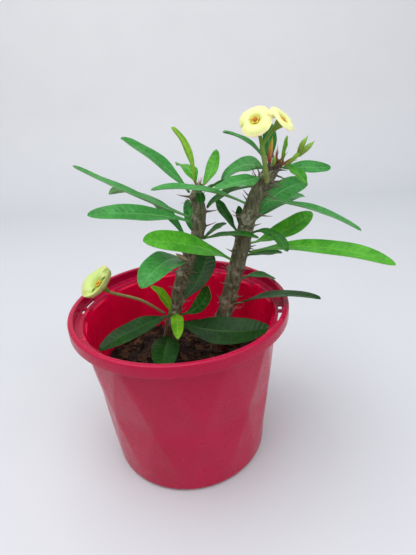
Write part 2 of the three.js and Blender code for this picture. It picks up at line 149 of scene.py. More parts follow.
camera = make_camera()
print("camera at", PLACE, "with a lens of", camera.data.lens, "mm")

# %% [markdown]
# ## Materials from nodes
# A material is a small network of nodes. These helpers keep each network readable: one makes a
# node and fills its inputs, and an input may be a number, a colour or another node's output.
# The plain values that are the same all over a surface go straight onto the shader's sockets.

# %% Node helpers
def put(tree, kind, out=0, **inputs):
    """Adds a node. Names that are its own settings are set, and the rest are its inputs, where
    _0, _1 and so on are sockets by number. Returns the output asked for."""
    node = tree.nodes.new(kind)
    for key, value in inputs.items():
        if not key.startswith("_") and hasattr(node, key):
            setattr(node, key, value)
    for key, value in inputs.items():
        if not key.startswith("_") and hasattr(node, key):
            continue
        socket = node.inputs[int(key[1:])] if key.startswith("_") else node.inputs[key.replace("_", " ")]
        if isinstance(value, bpy.types.NodeSocket):
            tree.links.new(value, socket)
        else:
            socket.default_value = value
    return node.outputs[out]


def ramp(tree, value, *stops):
    """A colour ramp: stops are (place, colour)."""
    node = tree.nodes.new("ShaderNodeValToRGB")
    tree.links.new(value, node.inputs[0])
    elements = node.color_ramp.elements
    while len(elements) < len(stops):
        elements.new(0.5)
    for element, (place, colour) in zip(elements, stops):
        element.position, element.color = place, (*colour, 1)
    return node.outputs[0]


def span(tree, value, low, high, to_low=0.0, to_high=1.0):
    """A value taken from one range to another, and held inside it."""
    return put(tree, "ShaderNodeMapRange", _0=value, _1=low, _2=high, _3=to_low, _4=to_high)


def sum_of(tree, kind, a, b):
    """One step of arithmetic on two values."""
    return put(tree, "ShaderNodeMath", operation=kind, _0=a, _1=b)


def mixed(tree, factor, a, b, kind="MIX"):
    """Colour a turned towards colour b by a factor."""
    node = tree.nodes.new("ShaderNodeMix")
    node.data_type, node.blend_type, node.clamp_factor = "RGBA", kind, True
    for socket, value in ((node.inputs[0], factor), (node.inputs[6], a), (node.inputs[7], b)):
        if isinstance(value, bpy.types.NodeSocket):
            tree.links.new(value, socket)
        else:
            socket.default_value = (*value, 1) if isinstance(value, tuple) and len(value) == 3 else value
    return node.outputs[2]


def attribute(tree, name):
    """A number stored with the mesh's points."""
    return put(tree, "ShaderNodeAttribute", out=2, attribute_name=name)


def start_material(name, **plain):
    """A material with a Principled shader, whose plain values are set on its sockets."""
    material = bpy.data.materials.new(name)
    material.use_nodes = True
    tree = material.node_tree
    shader = tree.nodes["Principled BSDF"]
    for key, value in plain.items():
        shader.inputs[key.replace("_", " ")].default_value = value
    return material, tree, shader


def wear(tree, shader, **sockets):
    """Links outputs to the shader's sockets by name."""
    for key, output in sockets.items():
        tree.links.new(output, shader.inputs[key.replace("_", " ")])


# %% [markdown]
# ## One shared effect: mottling
# No living or moulded surface is one even colour. Two layers of noise at different scales, read
# from the place on the object, give every material here its unevenness. It is built once as a node
# group, with its scale and its contrast as inputs, and each material sets its own.

# %% Mottle group
def make_mottle():
    """Broad and fine noise, averaged and stretched about one half."""
    group = bpy.data.node_groups.new("mottle", "ShaderNodeTree")
    for label, value in (("Scale", 100.0), ("Contrast", 1.0)):
        group.interface.new_socket(
            label, in_out="INPUT", socket_type="NodeSocketFloat"
        ).default_value = value
    group.interface.new_socket("Value", in_out="OUTPUT", socket_type="NodeSocketFloat")
    inside = group.nodes.new("NodeGroupInput")
    place = put(group, "ShaderNodeTexCoord", out=3)
    broad = put(group, "ShaderNodeTexNoise", Vector=place, Scale=inside.outputs[0], Detail=2.0)
    finer = sum_of(group, "MULTIPLY", inside.outputs[0], 4.3)
    fine = put(group, "ShaderNodeTexNoise", Vector=place, Scale=finer, Detail=3.0)
    both = sum_of(group, "MULTIPLY", sum_of(group, "ADD", broad, fine), 0.5)
    off = sum_of(group, "MULTIPLY", sum_of(group, "SUBTRACT", both, 0.5), inside.outputs[1])
    result = group.nodes.new("NodeGroupOutput")
    group.links.new(sum_of(group, "ADD", off, 0.5), result.inputs[0])
    return group


MOTTLE = make_mottle()


def mottle(tree, scale, contrast):
    """The mottle group in a material, with its own scale (per metre) and contrast."""
    node = tree.nodes.new("ShaderNodeGroup")
    node.node_tree = MOTTLE
    node.inputs["Scale"].default_value, node.inputs["Contrast"].default_value = scale, contrast
    return node.outputs[0]


def bump(tree, height, distance, strength=1.0):
    """A surface normal from a height between 0 and 1, where 1 stands this many metres proud."""
    return put(tree, "ShaderNodeBump", Height=height, Distance=distance, Strength=strength)


print("mottle group with", len(MOTTLE.nodes), "nodes")

# %% [markdown]
# ## The pot
# The pot is one shell of moulded plastic, and a lathe shape is the natural way to make it: a
# profile of radius against height, carried round the axis. Two things break the lathe. The wall is
# drawn in to flat facets, in two rows whose corners slide half a facet from one row to the next,
# and that is a factor on the radius. The ledge inside the rim has slots for a wire hanger and the
# floor has holes for water, and those are cut from the finished shell with one boolean.

# %% Pot: sizes
POT_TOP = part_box("pot")[1].z / MM
RIM, SHOULDER, FOOT = 80.0, 72.0, 60.0
RIM_HEIGHT, RIM_WIDTH, WALL, FLOOR = 9.0, 4.0, 1.8, 2.4
WAIST, FOOT_ROUND = 60.0, 4.0
FACETS, FACET_TURN, FACET_DEPTH = 12, -3.0, 0.95
LEDGE = POT_TOP - RIM_HEIGHT
ROUND = 288
print("pot", POT_TOP, "mm tall,", 2 * RIM, "mm across the rim")


# %% Pot: profile and facets
def wall_radius(z):
    """Outer radius of the round wall, which widens evenly from foot to shoulder."""
    return FOOT + (SHOULDER - FOOT) * z / LEDGE


def facet_factor(angle, z):
    """What a facet takes off the radius. At a level s, 0 at the waist and 1 at the end of its row,
    one set of facets spans half a pitch times s and the other half a pitch times 1 - s. Inside
    a facet of half angle h, the flat's radius is cos(h) over cos of the angle from its middle."""
    pitch = 360 / FACETS
    upper = z > WAIST
    s = np.clip(np.where(upper, (z - WAIST) / (LEDGE - WAIST), (WAIST - z) / (WAIST - FOOT_ROUND)), 0, 1)
    along = ((angle - FACET_TURN) / pitch) % 1
    from_first = np.abs((along + 0.5) % 1 - 0.5) * pitch
    half = pitch / 2 * s
    first = from_first < pitch / 2 - half
    middle = np.where(first, from_first, pitch / 2 - from_first)
    reach = np.where(first, pitch / 2 - half, half)
    flat = np.cos(np.radians(reach)) / np.cos(np.radians(middle))
    near_foot = np.clip((z - FOOT_ROUND) / (WAIST * 0.6 - FOOT_ROUND), 0, 1)
    fade = np.where(upper, 1, near_foot**2 * (3 - 2 * near_foot))
    return 1 - FACET_DEPTH * fade * (1 - flat)


def corner(centre, radius, start, stop, count):
    """Points of an arc in the profile, for a rounded edge."""
    a = np.radians(np.linspace(start, stop, count))
    return np.stack([centre[0] + radius * np.cos(a), centre[1] + radius * np.sin(a)], 1)


def pot_profile():
    """The shell's profile from the middle of the underside, up the outside, over the rim, down
    the inside and back to the axis, as (radius, height) and whether the facets act on it."""
    heights = np.linspace(FOOT_ROUND, LEDGE - 1.2, 26)
    outside = np.stack([wall_radius(heights), heights], 1)
    foot = corner((wall_radius(FOOT_ROUND) - FOOT_ROUND, FOOT_ROUND), FOOT_ROUND, -90, -8, 7)
    lip = np.concatenate([
        corner((SHOULDER + 0.9, LEDGE - 0.9), 0.9, 170, 90, 4),
        corner((RIM - 1.0, LEDGE + 1.0), 1.0, -90, 0, 5),
        [[RIM, LEDGE + 4.5]],
        corner((RIM - 1.5, POT_TOP - 1.5), 1.5, 0, 90, 6),
        corner((RIM - RIM_WIDTH + 1.1, POT_TOP - 1.1), 1.1, 90, 180, 5),
        corner((RIM - RIM_WIDTH - 1.2, LEDGE + WALL + 1.2), 1.2, 0, -90, 5),
        corner((SHOULDER - WALL + 0.9, LEDGE + WALL - 0.9), 0.9, 90, 180, 4),
    ])
    down = np.linspace(LEDGE - 1.2, FLOOR + 4, 26)
    inside = np.stack([wall_radius(down) - WALL, down], 1)
    sole = wall_radius(FLOOR) - WALL
    bottom = np.concatenate([corner((sole - 3, FLOOR + 3), 3, -10, -90, 5), [[40, FLOOR], [20, FLOOR]]])
    profile = np.concatenate([[[20, 0], [40, 0]], foot, outside, lip, inside, bottom])
    shaped = np.zeros(len(profile))
    start = 2 + len(foot)
    shaped[start : start + len(outside)] = 1
    shaped[start + len(outside) + len(lip) : start + len(outside) + len(lip) + len(inside)] = 1
    return profile, shaped


def pot_points():
    """The profile carried round the axis, drawn in to the facets where they act."""
    profile, shaped = pot_profile()
    angle = np.linspace(0, 360, ROUND, endpoint=False)
    radius, z = profile[:, :1], profile[:, 1:]
    factor = np.where(shaped[:, None] > 0, facet_factor(angle[None], z), 1)
    a = np.radians(angle)[None]
    grid = np.stack(np.broadcast_arrays(radius * factor * np.cos(a), radius * factor * np.sin(a), z), -1)
    return grid, len(profile)


# %% Pot: cutters for slots and holes
def ring_block(middle, span_deg, inner, outer, low, high, steps=10):
    """A block bent round the pot's axis: four corners of a section carried along an arc."""
    a = np.radians(np.linspace(middle - span_deg / 2, middle + span_deg / 2, steps))[:, None]
    r = np.array([inner, outer, outer, inner])[None]
    z = np.array([low, low, high, high])[None]
    grid = np.stack(np.broadcast_arrays(r * np.cos(a), r * np.sin(a), z), -1).reshape(-1, 3)
    ends = np.array([[3, 2, 1, 0], [4 * steps - 4, 4 * steps - 3, 4 * steps - 2, 4 * steps - 1]])
    return grid, np.concatenate([grid_faces(steps, 4, closed=True)[:, ::-1], ends[:, ::-1]])


def rod(x, y, radius, low, high, sides=32):
    """An upright round rod, as two rings with a flat face at each end."""
    a = 2 * np.pi * np.arange(sides) / sides
    ring = np.stack([x + radius * np.cos(a), y + radius * np.sin(a)], 1)
    grid = np.concatenate([np.c_[ring, np.full(sides, low)], np.c_[ring, np.full(sides, high)]])
    faces = [list(f) for f in grid_faces(2, sides, closed=True)]
    return grid, faces + [list(range(sides))[::-1], list(range(sides, 2 * sides))]


def cutters():
    """One object that holds every slot and hole to cut."""
    shapes = [
        ring_block(centre + side * 5, length, 72.6, 75.4, LEDGE - 3, LEDGE + 5)
        for centre in (-10, 170) for side, length in ((-1, 11), (1, 5))
    ]
    turns = 2 * np.pi * np.arange(6) / 6
    shapes += [rod(38 * np.cos(t), 38 * np.sin(t), 4, -4, FLOOR + 4) for t in turns]
    points, faces, first = [], [], 0
    for grid, own in shapes:
        points.append(grid)
        faces.append([np.asarray(f) + first for f in own])
        first += len(grid)
    return make_mesh("cutters", np.concatenate(points) * MM, faces, smooth=False)


# %% Pot: the shell
def make_pot():
    """The lathe shape with its poles closed, then the slots and holes cut out of it."""
    grid, rows = pot_points()
    low, high = [[0, 0, 0.0]], [[0, 0, FLOOR]]
    points = np.concatenate([grid.reshape(-1, 3), low, high]) * MM
    ring = np.arange(ROUND)
    last = (rows - 1) * ROUND
    faces = [
        grid_faces(rows, ROUND, closed=True),
        cap_faces(rows * ROUND, ring, outward=False),
        cap_faces(rows * ROUND + 1, ring + last),
    ]
    pot = make_mesh("nursery_pot", points, faces)
    knife = cutters()
    cut = pot.modifiers.new("cut", "BOOLEAN")
    cut.object, cut.operation, cut.solver = knife, "DIFFERENCE", "EXACT"
    shaped = pot.evaluated_get(bpy.context.evaluated_depsgraph_get())
    pot.data = bpy.data.meshes.new_from_object(shaped)
    pot.modifiers.clear()
    bpy.data.objects.remove(knife)
    # The inner mask marks the shell's inside, which the plastic paints brighter as painted light.
    x, y, z = np.array([v.co for v in pot.data.vertices]).T / MM
    middle = (wall_radius(z) - WALL / 2) * facet_factor(np.degrees(np.arctan2(y, x)), z)
    inner = pot.data.attributes.new("inner", "FLOAT", "POINT")
    inner.data.foreach_set("value", ((np.hypot(x, y) < middle) & (z > FLOOR - 0.1)).astype(np.float32))
    pot.data.polygons.foreach_set("use_smooth", np.full(len(pot.data.polygons), True))
    pot.data.set_sharp_from_angle(angle=np.radians(38))
    return pot


# %% [markdown]
# ## Pot plastic
# The plastic is a deep raspberry red with a soft gloss, and dust dulls it here and there.
# The inside of the shell is painted a brighter, purer red than the outside: painted light where
# light from above reaches in, and painted shade on the outer wall.

# %% Pot material
def make_plastic():
    """Red gloss plastic with a slow drift of colour and of roughness. Its inner side is painted a
    brighter and purer red than the outer: painted light on the inside, lit from above, and painted
    shade on the outside."""
    material, tree, shader = start_material("pot_plastic", IOR=1.46)
    shader.inputs["Specular IOR Level"].default_value = 0.27
    tone = mottle(tree, 14.0, 0.8)
    # Lit and shaded copies of one red: painted shade outside, painted light inside.
    shaded_outer_red = ramp(tree, tone, (0.3, (0.38, 0.001, 0.034)), (0.7, (0.46, 0.002, 0.048)))
    lit_inner_red = ramp(tree, tone, (0.3, (0.92, 0.001, 0.050)), (0.7, (0.98, 0.002, 0.070)))
    colour = mixed(tree, attribute(tree, "inner"), shaded_outer_red, lit_inner_red)
    rough = span(tree, mottle(tree, 25.0, 1.6), 0.3, 0.8, 0.24, 0.34)
    wear(tree, shader, Base_Color=colour, Roughness=rough)
    return material


pot = stand_for(make_pot(), "pot", make_plastic())
print("pot has", len(pot.data.polygons), "faces")

# %% [markdown]
# ## Leaves: reading a solid
# Each leaf's solid is a thin blade skinned over seven rings of six points, closed at its foot and
# at its tip. Walking over the mesh from the tip, one step at a time, finds the rings again, and
# with them the midrib's line, the direction across the blade and its half width. Reading them from
# the solid, and not from a second table of numbers, keeps the fine leaf where the model has it.

# %% Leaf: find the rings
def levels_from(start, neighbours):
    """Groups of points by the number of steps from a start."""
    groups, seen = [[start]], {start}
    while groups[-1]:
        step = set().union(*(neighbours[i] for i in groups[-1])) - seen
        seen |= step
        groups.append(sorted(step))
    return groups[:-1]


def leaf_rings(node):
    """(tip, rings from tip to foot, foot) of a leaf's solid. The tip is the pole whose nearest ring
    spans wider, for a blade is broader near its tip than at its narrow foot."""
    points, neighbours = node_points(node)
    poles = [
        i for i, near in enumerate(neighbours) if len(near) == 6 and len(levels_from(i, neighbours)) == 9
    ]
    ends = [p for p in poles if all(len(g) == 6 for g in levels_from(p, neighbours)[1:-1])]
    spans = [np.ptp(points[levels_from(p, neighbours)[1]], axis=0).max() for p in ends]
    tip = ends[int(np.argmax(spans))]
    groups = levels_from(tip, neighbours)
    return points[tip], [points[g] for g in groups[1:-1]], points[groups[-1][0]]


def ordered(ring, along):
    """A ring's points in order of their angle about the blade's direction."""
    centre = ring.mean(0)
    a = unit(np.cross(along, [0.3, 0.2, 0.9]))
    b = np.cross(along, a)
    off = ring - centre
    return ring[np.argsort(np.arctan2(off @ b, off @ a))]


def matched(ring, model):
    """A ring turned to the start that best fits its neighbour's shape."""
    shape = (model - model.mean(0)) / np.ptp(model - model.mean(0))
    turns = [np.roll(ring, k, axis=0) for k in range(6)]
    off = [t - t.mean(0) for t in turns]
    cost = [np.sum((o / np.ptp(o) - shape) ** 2) for o in off]
    return turns[int(np.argmin(cost))]


def right_way_up(ring):
    """A ring that starts at an edge's lower corner, so that points 0 to 2 are the underside and
    3 to 5 the top. A blade is folded upwards, so its edges stand proud of its midrib."""
    best = None
    for k in range(6):
        r = np.roll(ring, k, axis=0)
        thin = np.linalg.norm(r[2] - r[3]) + np.linalg.norm(r[5] - r[0])
        top = (r[[0, 2, 3, 5]].mean(0) - r[[1, 4]].mean(0)) @ (r[4] - r[1])
        if top > 0 and (best is None or thin < best[0]):
            best = (thin, r)
    return best[1]


def read_leaf(node):
    """Midrib centres from foot to tip, and at each ring the direction across and the half width."""
    tip, rings, foot = leaf_rings(node)
    rings = rings[::-1]
    centres = np.array([r.mean(0) for r in rings])
    along = unit(np.gradient(np.concatenate([centres, [tip]]), axis=0))
    rings = [ordered(r, d) for r, d in zip(rings, along)]
    widths = [np.ptp(r, axis=0).max() for r in rings]
    broad = 2 + int(np.argmax(widths[2:]))
    rings[broad] = right_way_up(rings[broad])
    for k in range(broad - 1, -1, -1):
        rings[k] = matched(rings[k], rings[k + 1])
    for k in range(broad + 1, len(rings)):
        rings[k] = matched(rings[k], rings[k - 1])
    across = np.array([(r[2] + r[3] - r[0] - r[5]) / 2 for r in rings])
    width = np.linalg.norm(across, axis=1)
    return centres, tip, across / width[:, None], width / 2


# %% [markdown]
# ## Leaves: the fine blade
# Between the rings the midrib is a smooth curve and the blade's roll turns evenly. The outline is
# one formula: a narrow foot, a slow swelling to the widest place and a rounded tip. It is fitted
# to the widths that were read. On that outline go what makes it a living leaf: a groove along the
# midrib with a rib under it, a slight lift between the side veins, a wavy margin and a thin edge.

# %% Leaf: outline and curves
STATIONS = np.array([0, 0.12, 0.28, 0.46, 0.64, 0.8, 0.93])
LEAF_FOOT = 0.055
FOLD = np.radians(10)


def outline(t, widest):
    """Half width along the blade as a part of the greatest: from the foot it rises as a quarter
    sine to the power 1.5, and past the widest place it falls as a rounded power curve."""
    rise = LEAF_FOOT + (1 - LEAF_FOOT) * np.sin(np.pi / 2 * np.clip(t / widest, 0, 1)) ** 1.5
    fall = (1 - np.clip((t - widest) / (1 - widest), 0, 1) ** 2.6) ** 0.62
    return np.where(t < widest, rise, fall)


def fit_outline(half):
    """The widest place and the greatest half width that fit the measured half widths best."""
    tries = np.linspace(0.3, 0.8, 101)
    shapes = outline(STATIONS[None], tries[:, None])
    size = (shapes @ half) / (shapes**2).sum(1)
    error = ((shapes * size[:, None] - half) ** 2).sum(1)
    best = int(np.argmin(error))
    return tries[best], size[best]


def smooth_path(knots, values, t):
    """A cubic curve through values at uneven knots, whose slope at each knot is taken from its
    neighbours (a Catmull-Rom curve)."""
    slope = np.gradient(values, knots, axis=0)
    k = np.clip(np.searchsorted(knots, t, side="right") - 1, 0, len(knots) - 2)
    step = (knots[k + 1] - knots[k])[:, None]
    s = ((t - knots[k]) / step[:, 0])[:, None]
    a, b = values[k], values[k + 1]
    da, db = slope[k] * step, slope[k + 1] * step
    return (
        (2 * s**3 - 3 * s**2 + 1) * a + (s**3 - 2 * s**2 + s) * da
        + (3 * s**2 - 2 * s**3) * b + (s**3 - s**2) * db
    )


# %% Leaf: the surface
ALONG, ACROSS = 64, 24


def leaf_surface(node, seed, wave, curl):
    """Top and underside of a blade on a grid of t along and v across, -1 to 1. The height above
    the fold is: the fold's own lift, less a groove at the midrib, plus quilting between the side
    veins, plus a sine wave along each margin, less a curl that grows as v squared."""
    centres, tip, side, half = read_leaf(node)
    noise = np.random.default_rng(seed)
    t = np.sin(np.linspace(0, np.pi / 2, ALONG)) ** 0.9 * 0.9995
    knots = np.append(STATIONS, 1.0)
    path = smooth_path(knots, np.concatenate([centres, [tip]]), t)
    widest, greatest = fit_outline(half)
    across = unit(smooth_path(knots, np.concatenate([side, side[-1:]]), t))
    along = unit(np.gradient(path, t, axis=0))
    across = unit(across - (across * along).sum(1, keepdims=True) * along)
    face = np.cross(across, along)
    length = np.linalg.norm(np.diff(path, axis=0), axis=1).sum()
    v = np.sin(np.linspace(-np.pi / 2, np.pi / 2, ACROSS + 1))[None]
    tt, size = t[:, None], (outline(t, widest) * greatest)[:, None]
    blade = np.clip((tt - 0.05) / 0.2, 0, 1)
    veins = (tt * length - 0.55 * np.abs(v) * size) / 0.0042
    lift = (np.abs(v) - 0.5) * size * np.sin(FOLD)
    groove = -0.0005 * np.exp(-((v * size / 0.0008) ** 2)) * blade
    quilt = 0.00016 * np.sin(2 * np.pi * veins) * (1 - np.abs(v) ** 6) * np.clip(
        np.abs(v) * 5, 0, 1
    ) * blade
    phase = noise.uniform(0, 2 * np.pi, 2)
    ripple = np.where(
        v > 0, np.sin(2 * np.pi * tt * 2.3 + phase[0]), np.sin(2 * np.pi * tt * 1.9 + phase[1])
    )
    height = lift + groove + quilt + wave * MM * ripple * np.abs(v) ** 3 * blade - curl * MM * v**2 * blade
    thick = np.maximum(0.00022 + 0.0006 * np.exp(-((v * size / 0.0011) ** 2)) * (1 - 0.6 * tt), 0)
    thick = thick * np.where(np.abs(v) > 0.999, 0.15, 1) * np.clip((1 - tt) * 30, 0.05, 1)
    middle = path[:, None] + across[:, None] * (v * size * np.cos(FOLD))[..., None]
    top = middle + face[:, None] * (height + thick)[..., None]
    under = middle + face[:, None] * (height - thick)[..., None]
    return top, under, *np.broadcast_arrays(tt * length / 0.01, v * np.ones_like(tt))


def leaf_mesh(name, node, seed, wave=0.35, curl=0.0):
    """Both faces of the blade as one closed shell: the top runs from right to left and the
    underside back again, so each row is one ring, and the two ends are capped."""
    top, under, along, across = leaf_surface(node, seed, wave, curl)
    ring = np.concatenate([top, under[:, ::-1]], 1)
    count = ring.shape[1]
    points = np.concatenate([ring.reshape(-1, 3), [ring[0].mean(0)], [ring[-1].mean(0)]])
    last = np.arange(count) + (ALONG - 1) * count
    faces = [
        grid_faces(ALONG, count, closed=True),
        cap_faces(ALONG * count, np.arange(count), outward=False),
        cap_faces(ALONG * count + 1, last),
    ]
    both = {
        "along": np.append(np.concatenate([along, along[:, ::-1]], 1).ravel(), [0, along.max()]),
        "across": np.append(np.concatenate([across, across[:, ::-1]], 1).ravel(), [0, 0]),
        "upper": np.append(np.tile(np.repeat([1.0, 0.0], count // 2), ALONG), [0.5, 0.5]),
    }
    return make_mesh(name, points, faces, both)


# %% [markdown]
# ## Leaf material
# A leaf shows a pale midrib, fine side veins that leave it at a slant, a thin pale margin, and a
# duller, paler underside. All of it follows the blade, so it is worked out from the two numbers
# stored with each point: how far along the leaf it lies, in centimetres, and how far across.
# The surface is waxy, so it is fairly glossy, and a thin leaf glows a little when lit from behind.
# A leaf's colours depend on its age, so one function makes a family of finishes: a yellower one
# for young leaves, a brighter one for some others, and darker copies that paint shade on leaves
# deep inside the plant and low down.

# %% Leaf finishes
def make_leaf_material(name, dark, light, under, vein, glow):
    """Waxy green: mottled between dark and light, with veins, a margin and a paler underside."""
    material, tree, shader = start_material(name, IOR=1.45)
    shader.inputs["Subsurface Weight"].default_value = glow
    shader.inputs["Subsurface Radius"].default_value = (0.0012, 0.0022, 0.0004)
    shader.inputs["Specular IOR Level"].default_value = 0.22
    along, across = attribute(tree, "along"), attribute(tree, "across")
    off = put(tree, "ShaderNodeMath", operation="ABSOLUTE", _0=across)
    colour = ramp(tree, mottle(tree, 85.0, 2.0), (0.25, dark), (0.75, light))
    slant = sum_of(
        tree, "SUBTRACT", sum_of(tree, "MULTIPLY", along, 2.4), sum_of(tree, "MULTIPLY", off, 1.5)
    )
    wobble = sum_of(tree, "MULTIPLY", mottle(tree, 60.0, 1.0), 0.9)
    wave = put(
        tree, "ShaderNodeMath", operation="PINGPONG", _0=sum_of(tree, "ADD", slant, wobble), _1=0.5
    )
    side_vein = span(tree, wave, 0.0, 0.10, 1.0, 0.0)
    side_vein = sum_of(tree, "MULTIPLY", side_vein, span(tree, off, 0.2, 0.95, 0.15, 0.03))
    midrib = sum_of(
        tree, "MULTIPLY", span(tree, off, 0.015, 0.075, 0.75, 0.0),
        span(tree, along, 1.0, 5.0, 1.0, 0.35)
    )
    margin = span(tree, off, 0.965, 0.998, 0.0, 0.40)
    lines = put(tree, "ShaderNodeMath", operation="MAXIMUM", _0=side_vein, _1=midrib)
    lines = put(tree, "ShaderNodeMath", operation="MAXIMUM", _0=lines, _1=margin)
    colour = mixed(tree, lines, colour, vein)
    upper = attribute(tree, "upper")
    below = mixed(tree, sum_of(tree, "MULTIPLY", lines, 0.6), under, vein)
    colour = mixed(tree, upper, below, colour)
    rough = sum_of(tree, "ADD", span(tree, mottle(tree, 160.0, 1.6), 0.3, 0.8, 0.30, 0.44),
                   span(tree, upper, 0.0, 1.0, 0.16, 0.0))
    relief = bump(tree, sum_of(
        tree, "ADD", sum_of(tree, "MULTIPLY", side_vein, -0.8), mottle(tree, 420.0, 0.6)
    ),
                  0.00025, 0.6)
    wear(tree, shader, Base_Color=colour, Roughness=rough, Normal=relief)
    return material


LEAF_FINISHES = {
    "leaf_upper": (
        (0.028, 0.190, 0.030), (0.060, 0.300, 0.060), (0.15, 0.36, 0.11), (0.20, 0.50, 0.16), 0.10
    ),
    "leaf_bright": (
        (0.035, 0.230, 0.010), (0.085, 0.370, 0.022), (0.19, 0.42, 0.10), (0.24, 0.54, 0.10), 0.14
    ),
    # painted shade: darker copies of the leaf greens for leaves deep inside the plant and low down
    "leaf_inner_shaded": (
        (0.010, 0.085, 0.006), (0.025, 0.150, 0.014), (0.10, 0.26, 0.06), (0.09, 0.28, 0.05), 0.08
    ),
    "leaf_low_shaded": (
        (0.004, 0.034, 0.003), (0.014, 0.070, 0.008), (0.10, 0.20, 0.06), (0.04, 0.15, 0.02), 0.05
    ),
    "leaf_young": (
        (0.080, 0.250, 0.003), (0.160, 0.400, 0.008), (0.20, 0.42, 0.03), (0.30, 0.55, 0.05), 0.18
    ),
}
leaf_materials = {name: make_leaf_material(name, *tones) for name, tones in LEAF_FINISHES.items()}

# %% Which leaf wears which finish
BRIGHT = ["main_leaf_03", "main_leaf_05", "main_leaf_10", "main_leaf_19", "left_leaf_02", "left_leaf_03"]
# Leaves deep inside the plant and low down wear the darker finishes, painted as shade.
SHADED_INNER = ["main_leaf_02", "main_leaf_04", "main_leaf_06", "main_leaf_17", "main_leaf_20", "main_leaf_21",
         "left_leaf_08", "left_leaf_10", "left_leaf_12", "left_leaf_13", "left_leaf_15"]
SHADED_LOW = ["main_leaf_01", "left_leaf_14", "shoot_leaf_03", "shoot_leaf_04", "left_leaf_16"]
YOUNG = ["left_leaf_01", "main_leaf_12", "shoot_leaf_01", "shoot_leaf_02"]


def finish_of(node):
    """The leaf finish a node wears, by its place on the plant: leaves deep inside and low down wear
    darker copies, which are painted shade.
    """
    for names, finish in (
        (BRIGHT, "leaf_bright"), (SHADED_INNER, "leaf_inner_shaded"), (SHADED_LOW, "leaf_low_shaded"), (YOUNG, "leaf_young")
    ):
        if node in names:
            return finish
    return "leaf_upper"


leaf_nodes = sorted(n for n in nodes if "_leaf_" in n)
leaves = []
for seed, node in enumerate(leaf_nodes):
    blade = leaf_mesh(node.replace("_leaf_", "_blade_"), node, seed)
    leaves.append(stand_for(blade, node, leaf_materials[finish_of(node)]))
print(len(leaves), "leaves,", sum(len(b.data.polygons) for b in leaves), "faces")

# %% [markdown]
# ## Soil
# Potting soil is a bed of chipped bark and coir. The bed is one closed surface: its top is a low
# crown with noise on it, and a skirt takes it down inside the pot. Loose pieces make it look like
# soil, and there are hundreds of them, so each is a simple lump of twenty faces. All the chips are
# worked out in one go: one lump's corners, times a random turn and size for each copy.

# %% Soil: the bed
SOIL_LOW, SOIL_HIGH = (c.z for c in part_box("soil"))
STEM_BASES = np.array([[0.0275, 0.012], [-0.013, 0.010]])


def soil_top(x, y):
    """Height of the soil's surface: a crown that falls with the square of the distance from the
    axis, plus three waves that cross each other."""
    r2 = (x**2 + y**2) / 0.064**2
    waves = np.sin(x * 310 + 1) * np.cos(y * 270) + np.sin(
        x * 130 - y * 190
    ) + 0.5 * np.sin(x * 700) * np.sin(y * 640)
    return SOIL_HIGH - 0.0032 - 0.003 * r2 + 0.0007 * waves


def make_soil_bed():
    """Rings of points from the middle out to the wall, then a skirt down and a floor under it."""
    a = 2 * np.pi * np.arange(96) / 96
    side = (wall_radius(SOIL_HIGH / MM) - WALL - 0.4) * MM * 0.985
    r = np.linspace(0.03, 1, 40)[:, None] * side
    x, y = r * np.cos(a), r * np.sin(a)
    top = np.stack([x, y, soil_top(x, y) + 0.0004 * rng.standard_normal(x.shape)], -1)
    skirt = [np.stack([top[-1, :, 0] * k, top[-1, :, 1] * k, np.full(96, z)], -1)
             for k, z in ((0.96, 0.066), (0.88, 0.04), (0.84, SOIL_LOW), (0.3, SOIL_LOW))]
    grid = np.concatenate([top, skirt])
    poles = [[0, 0, float(soil_top(0.0, 0.0))], [0, 0, SOIL_LOW]]
    ring, last = np.arange(96), np.arange(96) + 96 * (len(grid) - 1)
    points = np.concatenate([grid.reshape(-1, 3), poles])
    faces = [grid_faces(len(grid), 96, closed=True)[:, ::-1], cap_faces(len(points) - 2, ring),
             cap_faces(len(points) - 1, last, outward=False)]
    return make_mesh("soil_bed", points, faces)


# %% Soil: chips and fibres
def turns_of(count):
    """Random turns, as one 3 by 3 matrix each, from random unit quaternions."""
    w, x, y, z = unit(rng.standard_normal((count, 4))).T
    return np.stack([
        1 - 2 * (y * y + z * z), 2 * (x * y - w * z), 2 * (x * z + w * y),
        2 * (x * y + w * z), 1 - 2 * (x * x + z * z), 2 * (y * z - w * x),
        2 * (x * z - w * y), 2 * (y * z + w * x), 1 - 2 * (x * x + y * y),
    ], -1).reshape(-1, 3, 3)


def lump():
    """Corners and faces of a twenty-faced lump: two poles and two offset rings of five."""
    a = 2 * np.pi * np.arange(5) / 5
    rings = [np.c_[0.9 * np.cos(a + k * np.pi / 5), 0.9 * np.sin(a + k * np.pi / 5), np.full(5, h)]
             for k, h in ((0, 0.45), (1, -0.45))]
    corners = np.concatenate([[[0, 0, 1.0]], *rings, [[0, 0, -1.0]]])
    up, down = 1 + np.arange(5), 6 + np.arange(5)
    faces = np.concatenate([
        cap_faces(0, up), np.stack([up, down, np.roll(up, -1)], -1),
        np.stack([np.roll(up, -1), down, np.roll(down, -1)], -1), cap_faces(11, down, outward=False),
    ])
    return corners, faces


def on_soil(count, spread):
    """Random places on the soil, evenly over its disc, that keep clear of the stems."""
    angle, r = rng.uniform(0, 2 * np.pi, count), spread * np.sqrt(rng.uniform(0, 1, count))
    place = np.stack([r * np.cos(angle), r * np.sin(angle)], -1)
    clear = np.linalg.norm(place[:, None] - STEM_BASES, axis=-1).min(1) > 0.0085
    return place[clear]


